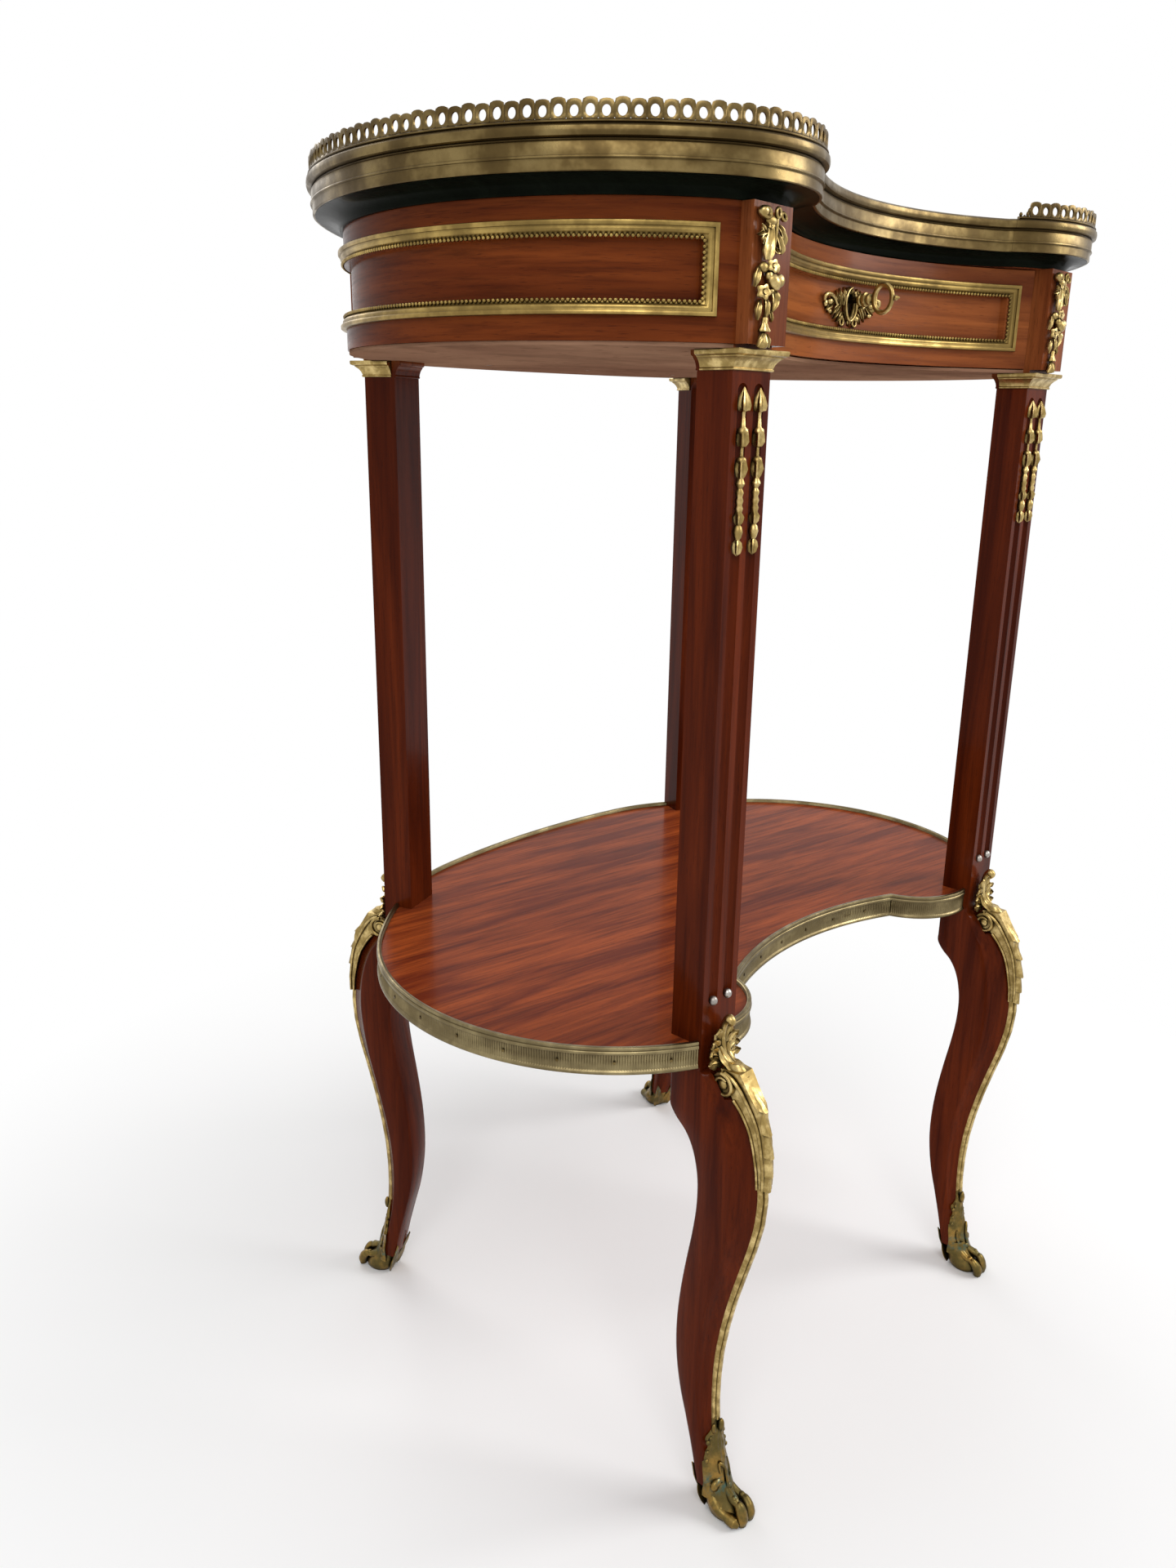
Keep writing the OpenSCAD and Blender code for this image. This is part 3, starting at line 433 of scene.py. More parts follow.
# Stretch of the figure, the streaks and the pores, along and across the grain
FIGURE_STRETCH = (4, 60, 60)
STREAK_STRETCH = (14, 420, 420)
PORE_STRETCH = (120, 1900, 1900)
PORE_SHARE = 0.45


def veneer_group():
    """Wood figure whose grain runs along X of the vector: wide bands, fine streaks and pores."""
    group, start, end = new_group("Veneer", [
        ("Vector", VECTOR, None), ("Light", COLOUR, (0.5, 0.2, 0.08, 1)),
        ("Dark", COLOUR, (0.15, 0.04, 0.02, 1)), ("Streak", COLOUR, (0.05, 0.015, 0.01, 1)),
        ("Streak amount", NUMBER, 0.5),
    ])
    vector, dark = start.outputs["Vector"], start.outputs["Streak"]
    figure = noise_node(group, stretched(group, vector, FIGURE_STRETCH), 1.1, 3, 0.55, 0.6)
    streaks = noise_node(group, stretched(group, vector, STREAK_STRETCH), 1.0, 4, 0.6)
    pores = noise_node(group, stretched(group, vector, PORE_STRETCH), 1.0, 1, 0.5)
    band = range_node(group, figure, 0.36, 0.66)
    shade = mix_colours(group, band, start.outputs["Dark"], start.outputs["Light"])
    streak = range_node(group, streaks, 0.46, 0.72)
    amount = math_node(group, "MULTIPLY", streak, start.outputs["Streak amount"])
    streaked = mix_colours(group, amount, shade, dark)
    pore = range_node(group, pores, 0.64, 0.74)
    colour = mix_colours(group, math_node(group, "MULTIPLY", pore, PORE_SHARE), streaked, dark)
    feed(group, end, Color=colour, Roughness=range_node(group, streaks, 0.3, 0.7, 0.16, 0.27),
         Height=math_node(group, "MULTIPLY", pore, -1.0))
    return group


# Grain of the casting, how much the painted shade darkens the hollows, and how much tarnish and painted
# shade dull the metal
CASTING_GRAIN = 900
HOLLOW_SHADE_SHARE = 0.9
SHADE_AND_TARNISH_ROUGHNESS = 0.12


def cast_metal_group():
    """Brass or gilding: bright where rubbed, brown and green-grey tarnish in patches, and the tarnish colour
    painted into the hollows as shade.
    """
    # The Tarnish colour serves both the tarnish patches and the painted shade in the hollows.
    group, start, end = new_group("Cast metal", [
        ("Vector", VECTOR, None), ("Bright", COLOUR, (0.8, 0.6, 0.25, 1)),
        ("Base", COLOUR, (0.5, 0.38, 0.16, 1)), ("Tarnish", COLOUR, (0.1, 0.08, 0.04, 1)),
        ("Patch size", NUMBER, 60.0), ("Tarnish amount", NUMBER, 0.5), ("Hollow reach", NUMBER, 0.003),
    ])
    patch = noise_node(group, start.outputs["Vector"], start.outputs["Patch size"], 4, 0.62)
    # Painted shade: ambient occlusion darkens the hollows towards the tarnish colour, as far as the hollow
    # reach.
    hollow = add_node(group, "ShaderNodeAmbientOcclusion", samples=8)
    feed(group, hollow, Distance=start.outputs["Hollow reach"])
    depth = range_node(group, hollow.outputs["AO"], 0.4, 0.92, 1.0, 0.0)
    spread = range_node(group, patch, 0.42, 0.68)
    patches = math_node(group, "MULTIPLY", spread, start.outputs["Tarnish amount"])
    # The mask takes whichever is stronger: the painted shade of the hollows or the tarnish patches.
    shade_and_tarnish_mask = math_node(group, "MAXIMUM", math_node(group, "MULTIPLY", depth, HOLLOW_SHADE_SHARE), patches)
    lit = range_node(group, patch, 0.55, 0.3)
    body = mix_colours(group, lit, start.outputs["Base"], start.outputs["Bright"])
    rough = range_node(group, patch, 0.35, 0.7, 0.26, 0.46)
    dull = math_node(group, "MULTIPLY", shade_and_tarnish_mask, SHADE_AND_TARNISH_ROUGHNESS)
    feed(group, end, Color=mix_colours(group, shade_and_tarnish_mask, body, start.outputs["Tarnish"]),
         Roughness=math_node(group, "ADD", rough, dull),
         Height=noise_node(group, start.outputs["Vector"], CASTING_GRAIN, 2, 0.6))
    return group


VENEER = veneer_group()
CAST_METAL = cast_metal_group()


def new_material(name):
    material = bpy.data.materials.new(name)
    material.use_nodes = True
    tree = material.node_tree
    shader = tree.nodes["Principled BSDF"]
    return material, tree, shader


def place_group(tree, group, **values):
    node = add_node(tree, "ShaderNodeGroup", node_tree=group)
    feed(tree, node, **values)
    return node


def surface_vector(tree, turn=(0, 0, 0), scale=(1, 1, 1)):
    """Object coordinates turned so that the wanted direction is X."""
    coords = add_node(tree, "ShaderNodeTexCoord")
    return stretched(tree, coords.outputs["Object"], scale, turn)


def height_value(tree):
    """Height over the floor in metres."""
    axes = add_node(tree, "ShaderNodeSeparateXYZ")
    feed(tree, axes, Vector=surface_vector(tree))
    return axes.outputs["Z"]


def bump(tree, shader, height, strength, distance):
    node = add_node(tree, "ShaderNodeBump")
    feed(tree, node, Strength=strength, Distance=distance, Height=height)
    feed(tree, shader, Normal=node.outputs[0])


# Heights between which a post turns from the colour of its shaft to that of its stile
STILE_FADE = (FRIEZE_Z - 8, FRIEZE_Z - 2)


def wood_material(name, light, dark, streak, amount, turn=(0, 0, 0), scale=(1, 1, 1), gloss=0.1,
                  coat=0.1, stile=None):
    """Veneer or solid wood. stile gives light and dark for the part of a post beside the frieze."""
    material, tree, shader = new_material(name)
    figure = {"Vector": surface_vector(tree, turn, scale), "Streak": streak, "Streak_amount": amount}
    grain = place_group(tree, VENEER, Light=light, Dark=dark, **figure)
    colour = grain.outputs["Color"]
    if stile:
        upper = place_group(tree, VENEER, Light=stile[0], Dark=stile[1], **figure)
        height = range_node(tree, height_value(tree), *(z * MM for z in STILE_FADE))
        colour = mix_colours(tree, height, colour, upper.outputs["Color"])
    feed(tree, shader, Base_Color=colour, Roughness=grain.outputs["Roughness"], Specular_IOR_Level=gloss,
         Coat_Weight=coat, Coat_Roughness=0.08)
    bump(tree, shader, grain.outputs["Height"], 0.12, 0.0002)
    return material


# Verdigris: grain of its speckle, and the heights over which its patch fades at the foot and at the top
VERDIGRIS_GRAIN = 260
VERDIGRIS_FADE = (0.004, 0.006)


def metal_material(name, bright, base, shade_and_tarnish_colour, amount, patch, reach=0.003, verdigris=None):
    """Cast metal. verdigris gives a colour and the heights between which its patch lies."""
    material, tree, shader = new_material(name)
    cast = place_group(tree, CAST_METAL, Vector=surface_vector(tree), Bright=bright, Base=base,
                       Tarnish=shade_and_tarnish_colour, Tarnish_amount=amount, Patch_size=patch, Hollow_reach=reach)
    colour = cast.outputs["Color"]
    if verdigris:
        tint, low, high = verdigris
        height = height_value(tree)
        under = range_node(tree, height, high, high - VERDIGRIS_FADE[1])
        over = range_node(tree, height, low, low + VERDIGRIS_FADE[0])
        grain = noise_node(tree, surface_vector(tree), VERDIGRIS_GRAIN, 4, 0.65)
        speckle = range_node(tree, grain, 0.48, 0.72)
        mask = math_node(tree, "MULTIPLY", math_node(tree, "MULTIPLY", under, over), speckle)
        colour = mix_colours(tree, mask, colour, tint)
    feed(tree, shader, Base_Color=colour, Roughness=cast.outputs["Roughness"], Metallic=1.0)
    bump(tree, shader, cast.outputs["Height"], 0.25, 0.0001)
    return material


# Grain that runs level on every side: Y is stretched as much as X
LEVEL_GRAIN = (1, 0.067, 1)
TOP_WOOD = wood_material(
    "top veneer", (0.3, 0.075, 0.025), (0.14, 0.026, 0.01), (0.04, 0.01, 0.006), 0.5, turn=(0, 0, 6),
    coat=0.12)
SHELF_WOOD = wood_material(
    "shelf veneer", (0.35, 0.07, 0.016), (0.15, 0.024, 0.008), (0.035, 0.008, 0.005), 0.55,
    turn=(0, 0, 6), scale=(2.0, 1.3, 1), gloss=0.03, coat=0.05)
FRIEZE_WOOD = wood_material(
    "frieze veneer", (0.2, 0.046, 0.01), (0.1, 0.019, 0.005), (0.03, 0.006, 0.003), 0.55,
    scale=LEVEL_GRAIN, gloss=0.03, coat=0.01)
DRAWER_WOOD = wood_material(
    "drawer veneer", (0.31, 0.09, 0.024), (0.13, 0.03, 0.009), (0.07, 0.016, 0.006), 0.45,
    scale=LEVEL_GRAIN, gloss=0.05, coat=0.03)
LEG_WOOD = wood_material(
    "leg wood", (0.12, 0.018, 0.003), (0.055, 0.007, 0.0012), (0.02, 0.003, 0.001), 0.45,
    turn=(0, 90, 0), gloss=0.04, coat=0.035, stile=((0.26, 0.075, 0.022), (0.15, 0.036, 0.011)))
UNDER_WOOD = wood_material(
    "underside", (0.34, 0.195, 0.12), (0.23, 0.12, 0.075), (0.09, 0.045, 0.028), 0.5,
    scale=LEVEL_GRAIN, gloss=0, coat=0)
OAK = wood_material(
    "drawer oak", (0.42, 0.26, 0.13), (0.3, 0.17, 0.08), (0.16, 0.08, 0.035), 0.5, coat=0)
# Metals: bright, base, the colour of both the tarnish and the painted shade in the hollows, tarnish amount,
# patch size and the reach of the painted shade.
AGED_BRASS = metal_material(
    "aged brass", (0.23, 0.165, 0.066), (0.12, 0.08, 0.029), (0.035, 0.021, 0.008), 0.45, 45, 0.002)
GILT = metal_material(
    "gilt mounts", (0.7, 0.53, 0.23), (0.36, 0.25, 0.085), (0.025, 0.016, 0.006), 0.25, 160, 0.003)
REED_BRASS = metal_material(
    "reeded brass", (0.33, 0.265, 0.135), (0.2, 0.155, 0.078), (0.07, 0.05, 0.022), 0.35, 45, 0.0016)
FRAME_BRASS = metal_material(
    "frame brass", (0.5, 0.35, 0.11), (0.27, 0.18, 0.055), (0.03, 0.02, 0.008), 0.35, 45, 0.0014)
# Dark brass: on the keyhole cup it is painted shade; the key stem is dark brass too.
DARK_BRASS = metal_material(
    "dark brass", (0.09, 0.065, 0.035), (0.05, 0.036, 0.02), (0.015, 0.012, 0.008), 0.6, 200)
SABOT_BRONZE = metal_material(
    "sabot bronze", (0.34, 0.2, 0.05), (0.15, 0.11, 0.035), (0.03, 0.026, 0.012), 0.35, 90, 0.004,
    verdigris=((0.06, 0.13, 0.11), 0.014, 0.031))
STEEL = metal_material(
    "lock steel", (0.3, 0.28, 0.26), (0.2, 0.19, 0.17), (0.06, 0.04, 0.03), 0.4, 200)
PEARL = metal_material(
    "pale pearls", (0.5, 0.47, 0.44), (0.36, 0.33, 0.3), (0.12, 0.09, 0.07), 0.3, 120)
COVE_BLACK = wood_material(
    "black cove", (0.006, 0.008, 0.005), (0.004, 0.005, 0.003), (0.002, 0.002, 0.002), 0.3,
    gloss=0.01, coat=0)


def finish_node(names, material):
    for name in names:
        mesh = nodes[name].data
        mesh.materials.clear()
        mesh.materials.append(material)


finish_node(["top_board"], TOP_WOOD)
finish_node(["shelf_board"], SHELF_WOOD)
finish_node(["frieze_left", "frieze_right", "frieze_back"], FRIEZE_WOOD)
finish_node(["bottom_board"], UNDER_WOOD)
finish_node(["drawer_front"], DRAWER_WOOD)
finish_node([k + c for k in ("post_", "cabriole_") for c in CORNERS], LEG_WOOD)
finish_node(["drawer_sides", "drawer_back", "drawer_bottom"], OAK)
finish_node(["drawer_guides", "drawer_kickers", "drawer_stop"], OAK)
finish_node(["top_band", "top_band_front", "gallery_left", "gallery_right", "gallery_back"], AGED_BRASS)
finish_node(["frame_left", "frame_right", "frame_back", "drawer_frame", "leg_fillets"], AGED_BRASS)
finish_node(["shelf_band_" + s for s in ("left", "right", "back", "front")] + ["band_pins"], AGED_BRASS)
finish_node([k + c for k in ("capital_", "stile_mount_", "knee_mount_", "sabot_") for c in CORNERS], GILT)
finish_node(["flute_drops", "escutcheon", "key"], GILT)
finish_node(["lock_bolt", "lock_screws", "bottom_screws"], STEEL)
finish_node(["lock_case"], AGED_BRASS)
finish_node(["soffit"], COVE_BLACK)


# Top: moulded band, pierced gallery and black cove
TOP_METRIC = Edge(False, BAND_D)
BAND_JOINT_X = 103
# Distances along the edge between which the ends of the front lie
FRONT_STRETCH = (60, 160)
JOINT_RUN = TOP_METRIC.find(lambda p: p.x - BAND_JOINT_X, *FRONT_STRETCH)
JOINT_GAP = 0.06
BAND_PROFILE = lifted([
    (14, 0), (17.2, 0), (17.6, 0.4), (17.6, 4.2), (17.9, 4.6), (18.4, 4.8), (18.6, 5.2), (18.4, 5.7),
    (18, 5.9), (18, 10.8), (17.7, 11.4), (17, 11.7), (17.1, 12.2), (19, 12.4), (19.9, 12.8), (20.25, 13.8),
    (20.3, 15), (20.1, 16.3), (19.3, 17.2), (18.4, TOP_Z - BAND_Z - 0.05), (14, TOP_Z - BAND_Z - 0.05),
], BAND_Z)


def top_bands():
    far = TOP_METRIC.length - JOINT_RUN
    bm = bmesh.new()
    sweep(bm, TOP_METRIC, JOINT_RUN + JOINT_GAP, far - JOINT_GAP, BAND_PROFILE)
    piece = make_object("moulded_band", bm, AGED_BRASS, smooth=28)
    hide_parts("top_band")
    bm = bmesh.new()
    sweep(bm, TOP_METRIC, JOINT_GAP - JOINT_RUN, JOINT_RUN - JOINT_GAP, BAND_PROFILE)
    piece = make_object("concave_band", bm, AGED_BRASS, smooth=28)
    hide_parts("top_band_front")


# Gallery: arches with oval holes on a rail. Every second arch is a little smaller.
PITCH = 6.6
RAIL_TOP = TOP_Z + 0.9
HOLE = (1.95, 2.4)
HOLE_Z = TOP_Z + 4.7
ARCH_TOP = GALLERY_TOP - 0.3
ARCH_DIP = 1.1
ARCH_POINTS = 20
SCALLOP_POWER = 2.6
SMALL_ARCH = 0.93
WALL = 0.55
GALLERY_END_X = 104
RAIL_PROFILE = lifted([
    (16.4, 0), (18.9, 0), (19.3, 0.35), (19.35, 0.8), (19, 1.2), (18.5, 1.4), (17.2, 1.4), (16.5, 1.1),
], TOP_Z)
# Scroll at an end of the gallery: distance from the end, height, radius and how tall
END_SCROLL = [(1.2, 2.4, 1.25, 1), (3.4, 1.4, 0.9, 1), (5.3, 2.4, 1.2, 1.5), (6, 4.4, 1, 1.5)]


def arch_cell(bm, edge, middle, pitch, size):
    """One arch of the gallery: a flat ring with an oval hole and a scalloped top."""
    half = pitch / 2 + 0.05
    high = RAIL_TOP + (ARCH_TOP - RAIL_TOP) * size
    centre = RAIL_TOP + (HOLE_Z - RAIL_TOP) * size
    rings = []
    for k in range(ARCH_POINTS):
        a = 2 * math.pi * k / ARCH_POINTS
        c, s = math.cos(a), math.sin(a)
        straight = half / max(abs(c), 1e-6)
        reach = straight
        if s < -1e-6:
            reach = min(reach, (centre - RAIL_TOP) / -s)
        if s > 1e-6:
            for _ in range(12):
                edge_z = high - ARCH_DIP * min(1, abs(reach * c) / half) ** SCALLOP_POWER
                reach = min(straight, (edge_z - centre) / s)
        inner = (HOLE[0] * size * c, centre + HOLE[1] * size * s)
        outer = (reach * c, centre + reach * s)
        mid = (inner[0] * 0.45 + outer[0] * 0.55, inner[1] * 0.45 + outer[1] * 0.55)
        ring = []
        for (x, z), out in (
            (inner, -WALL), (inner, WALL * 0.6), (mid, WALL + 0.15), (outer, WALL * 0.7), (outer, -WALL),
            (mid, -WALL - 0.1),
        ):
            p = edge.point(middle + x, out)
            ring.append((p.x, p.y, z))
        rings.append(ring)
    skin(bm, rings, loop=True)


def gallery():
    edge = Edge(False, GALLERY_D)
    start = edge.find(lambda p: p.x - GALLERY_END_X, *FRONT_STRETCH)
    total = edge.length - 2 * (start + PITCH)
    count = round(total / PITCH)
    pitch = total / count
    turn = edge.starts[5]
    cuts = [start, turn, edge.length - turn, edge.length - start]
    for side, a, b in zip(("right", "back", "left"), cuts, cuts[1:]):
        bm = bmesh.new()
        sweep(bm, edge, a + 0.02, b - 0.02, RAIL_PROFILE)
        for i in range(count):
            middle = start + PITCH + pitch * (i + 0.5)
            if a <= middle < b:
                arch_cell(bm, edge, middle, pitch, SMALL_ARCH if i % 2 else 1)
        for end, sign in ((start, 1), (edge.length - start, -1)):
            if a - 1 <= end <= b + 1:
                for distance, height, r, tall in END_SCROLL:
                    p = edge.point(end + sign * distance)
                    ball(bm, (p.x, p.y, TOP_Z + height), (r, r * 0.75, r * tall))
        piece = make_object("pierced_gallery_" + side, bm, AGED_BRASS, smooth=40)
        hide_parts("gallery_" + side)


# Cove: how far out its back and its lip lie, and how far it reaches and rises from the lip
COVE_BACK = 2.6
COVE_LIP = 4.8
COVE_REACH = 11.6
COVE_RISE = 5.5


def cove():
    bm = bmesh.new()
    profile = [(COVE_BACK, 0.05), (COVE_LIP - 0.5, 0.05), (COVE_LIP - 0.1, 0.6)]
    for k in range(9):
        a = math.radians(90) * k / 8
        profile.append((COVE_LIP + COVE_REACH * (1 - math.cos(a)), 1.1 + COVE_RISE * math.sin(a)))
    profile.append((COVE_BACK, BAND_Z - COVE_Z - 0.05))
    edge = Edge(False, 10)
    sweep(bm, edge, 0, edge.length, lifted(profile, COVE_Z), loop=True)
    piece = make_object("cove_moulding", bm, COVE_BLACK)
    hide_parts("soffit")


# Frames on frieze and drawer: profile as distance from the outer edge and height
FRAME_PROFILE = [
    (0, 0), (0, 2.5), (0.3, 2.95), (0.9, 3.0), (1.7, 3.0), (2.1, 2.7), (2.25, 1.9), (2.7, 1.75), (3.3, 1.95),
    (3.9, 1.85), (4.5, 1.35), (4.9, 0.8), (5.3, 0.55), (5.9, 0.4), (6.0, 0.2), (6.0, 0),
]
FRAME_Z = (670.5, 708.5)
FRAME_STEP = 4
UPRIGHT_STEPS = 6
BEAD_PITCH = 2.3
BEAD_R = 0.95
BEAD_IN = 6.2
BEAD_OUT = 0.75
# Ends of the frames: angles about the lobe and the shoulder, and half widths
SIDE_FRAME_FROM = -58.3
SIDE_FRAME_TO = 51.8
BACK_FRAME_X = 120
DRAWER_FRAME_X = 130


def frame_piece(name, place, a, b, node_name, body="table", mirror=False):
    """A moulded frame with a beaded inner edge, round the field from run a to run b."""
    bm = bmesh.new()
    low, high = FRAME_Z
    across = max(8, round((b - a) / FRAME_STEP))
    rings = []
    for side in range(4):
        n = UPRIGHT_STEPS if side % 2 else across
        for j in range(n):
            t = j / n
            ring = []
            for u, h in FRAME_PROFILE:
                x0, x1, z0, z1 = a + u, b - u, low + u, high - u
                run, z = (
                    (x0 + (x1 - x0) * t, z0), (x1, z0 + (z1 - z0) * t),
                    (x1 - (x1 - x0) * t, z1), (x0, z1 - (z1 - z0) * t),
                )[side]
                ring.append(place(run, z, h))
            rings.append(ring)
    skin(bm, rings, loop=True)
    x0, x1, z0, z1 = a + BEAD_IN, b - BEAD_IN, low + BEAD_IN, high - BEAD_IN
    for length, start, end in (
        (x1 - x0, (x0, z0), (x1, z0)), (x1 - x0, (x0, z1), (x1, z1)),
        (z1 - z0, (x0, z0), (x0, z1)), (z1 - z0, (x1, z0), (x1, z1)),
    ):
        n = round(length / BEAD_PITCH)
        for j in range(n):
            run, z = (p + (q - p) * (j + 0.5) / n for p, q in zip(start, end))
            ball(bm, place(run, z, BEAD_OUT), (BEAD_R, BEAD_R, BEAD_R), segments=8, rings=6)
    piece = make_object(name, bm, FRAME_BRASS, body, smooth=40, mirror=mirror)
    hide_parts(node_name)


def frames():
    edge = Edge(False, FRIEZE_D)

    def on_side(run, z, h):
        p = edge.point(run, h)
        return (p.x, p.y, z)

    a = edge.find(lambda p: angle_to(LOBE, p) - SIDE_FRAME_FROM, 100, 260)
    b = edge.find(lambda p: angle_to(SHOULDER, p) - SIDE_FRAME_TO, edge.starts[3], edge.starts[4])
    frame_piece("side_frame_right", on_side, a, b, "frame_right")
    frame_piece("side_frame_left", on_side, a, b, "frame_left", mirror=True)
    c = edge.find(lambda p: BACK_FRAME_X - p.x, edge.starts[3], edge.starts[6])
    frame_piece("back_frame", on_side, c, edge.length - c, "frame_back")

    def on_drawer(run, z, h):
        p = DRAWER + (DRAWER_R - h) * heading(90 - math.degrees(run / DRAWER_R))
        return (p.x, p.y, z)

    half = DRAWER_R * math.asin(DRAWER_FRAME_X / DRAWER_R)
    frame_piece("front_frame", on_drawer, -half, half, "drawer_frame", "drawer")


# Shelf band in four lengths, with fine upright reeds: out, height over the shelf and share of the reeds
REED_PITCH = 1.45
REED_DEPTH = 0.5
BAND_GAP = 0.1
SHELF_PROFILE = lifted([
    (-2.2, -13.45), (0.3, -13.5), (0.7, -13.2), (0.8, -12.4), (0.6, -11.6), (0.1, -11.2), (-0.05, -10.7, 1),
    (-0.05, -6.5, 1), (-0.05, -2.2, 1), (0.05, -1.8), (0.6, -1.5), (0.7, -0.7), (0.5, 0), (-0.1, 0.3),
    (-0.1, 0.8), (0.35, 1.1), (0.4, 1.9), (0.1, 2.4), (-0.8, 2.5), (-1.9, 2.4), (-2.2, 2),
], SHELF_Z)


def shelf_bands():
    edge = Edge(True, 0)
    beside = LEG_W / 2 + BAND_GAP

    def past_back_leg(reach):
        return lambda p: (p - BACK_LEG).dot(heading(BACK_LEG_TURN - 90)) - reach

    kink = edge.starts[2]
    half = edge.find(lambda p: p.x - FRONT_LEG.x + beside, 80, kink - 0.01)
    near = edge.find(lambda p: p.x - FRONT_LEG.x - beside, kink + 0.01, kink + 60)
    far = edge.find(past_back_leg(beside), edge.starts[3] - 60, edge.starts[5])
    back = edge.find(past_back_leg(-beside), far + 5, edge.starts[6])
    for side, a, b in (
        ("front", -half, half), ("right", near, far), ("back", back, edge.length - back),
        ("left", edge.length - far, edge.length - near),
    ):
        bm = bmesh.new()
        sweep(bm, edge, a, b, SHELF_PROFILE, step=REED_PITCH / 4, ripple=REED_DEPTH, pitch=REED_PITCH)
        piece = make_object("reeded_band_" + side, bm, REED_BRASS, smooth=50)
        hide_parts("shelf_band_" + side)


top_bands()
gallery()
cove()
frames()
shelf_bands()


# Legs: height, back, side arris and keel, in the post's frame
LEG_ROWS = [
    (LEG_JOINT_Z, 10.2, -10.2, -10.8), (290, 10.2, -13, -18.5), (284, 10.2, -15.6, -24.5),
    (278, 10.2, -19, -29), (272, 10.2, -23.6, -33), (266, 10, -26.4, -37), (260, 5.8, -28.6, -39.4),
    (254, -1, -30.4, -41.2), (246, -5.9, -32.2, -43.4), (236, -9, -33.4, -45), (224, -10.6, -33.8, -46),
    (208, -10.2, -32.6, -44.8), (190, -7.8, -30, -41), (170, -4.2, -25.6, -35.4),
    (150, -1, -21.2, -30.2), (130, 1.2, -17.4, -26), (110, 1.8, -15.2, -23), (92, 0.4, -14.8, -21.8),
    (75, -2.6, -15.8, -21.8), (60, -6.6, -17.6, -22.8), (40, -12, -22, -27.6), (17, -17.4, -27.4, -33),
]
# The leg's half width from ankle to knee, half of its flat keel, and the recess between the volutes
ANKLE_W = 9.5
ANKLE_Z = 60
KNEE_Z = 255
KEEL_X = 2.2
RECESS_Z = (279.5, LEG_JOINT_Z + 0.5)
RECESS_Y = -12.2
SCROLL_X = 7.6


def half_width(z):
    return ANKLE_W + (LEG_W / 2 - ANKLE_W) * min(1, max(0, (z - ANKLE_Z) / (KNEE_Z - ANKLE_Z)))


def at_height(rows, z):
    """The other values of falling rows of (height, value, ...) at a height."""
    for upper, lower in zip(rows, rows[1:]):
        if upper[0] >= z >= lower[0]:
            t = (upper[0] - z) / (upper[0] - lower[0])
            return [p + (q - p) * t for p, q in zip(upper[1:], lower[1:])]
    return list(rows[0][1:]) if z > rows[0][0] else list(rows[-1][1:])


def at_corners(name, bm, material, node_name, smooth, mirror=False):
    """Four copies of one piece, one on each post. With mirror the right ones are reflections."""
    for corner in CORNERS:
        flip = mirror and corner[1] == "r"
        at = corner_matrix(corner[0] + "l" if flip else corner)
        piece = make_object(name + corner, bm.copy(), material, smooth=smooth, at=at, mirror=flip)
        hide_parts(node_name + corner)
    bm.free()


def cabriole_legs():
    bm = bmesh.new()
    rings = []
    for z, y, s, k in smooth_path(LEG_ROWS, 5):
        w = half_width(z)
        sunk = RECESS_Z[0] < z < RECESS_Z[1]
        side = [
            (w - 1.6, y), (w - 0.5, y - 0.5), (w, y - 1.6), (w, (y + s) / 2), (w, s + 1),
            (w - 0.35, s + 0.15),
        ]
        for x in (w - 1.2, SCROLL_X + 0.3, SCROLL_X, 4.6, KEEL_X):
            t = (x - KEEL_X) / (w - KEEL_X)
            cant = k + (s - k) * t + 1.1 * math.sin(math.pi * t)
            side.append((x, RECESS_Y if sunk and x <= SCROLL_X else cant))
        rings.append([(x, v, z) for x, v in side] + [(-x, v, z) for x, v in reversed(side)])
    skin(bm, rings)
    at_corners("cabriole_leg_", bm, LEG_WOOD, "cabriole_", 45)


# Capital: how far its moulding stands out, and the height. It spreads more in front and less behind.
CAPITAL_PROFILE = lifted([
    (0.02, 0.1), (0.5, 0), (0.95, 0.3), (1, 0.9), (0.7, 1.4), (0.9, 2), (1.3, 3.2), (2, 4.4), (2.9, 5.4),
    (3.4, 5.8), (3.5, 6.3), (4.1, 6.5), (4.9, 6.9), (5.15, 7.5), (5.2, 8.8), (5, 9.15), (0.02, 9.15),
], CAPITAL_Z)
FRONT_SPREAD = 1.3
BACK_SPREAD = 0.8


def capitals():
    w, d = LEG_W / 2, LEG_D / 2
    for corner in CORNERS:
        at = corner_matrix(corner)
        bm = bmesh.new()
        rings = [[], [], [], []]
        for out, z in CAPITAL_PROFILE:
            side, front = w + out, -d - out * FRONT_SPREAD
            for ring, place in zip(rings, ((-side, d - 2), (-side, front), (side, front), (side, d - 2))):
                ring.append((*place, z))
        skin(bm, rings)
        piece = make_object("capital_moulding_" + corner, bm, GILT, smooth=30, at=at)
        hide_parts("capital_" + corner)
        bm = bmesh.new()
        skin(bm, [[(x, d + 0.05 + out * BACK_SPREAD, z) for out, z in CAPITAL_PROFILE] for x in (-w, w)])
        make_object("inner_moulding_" + corner, bm, LEG_WOOD, smooth=30, at=at)


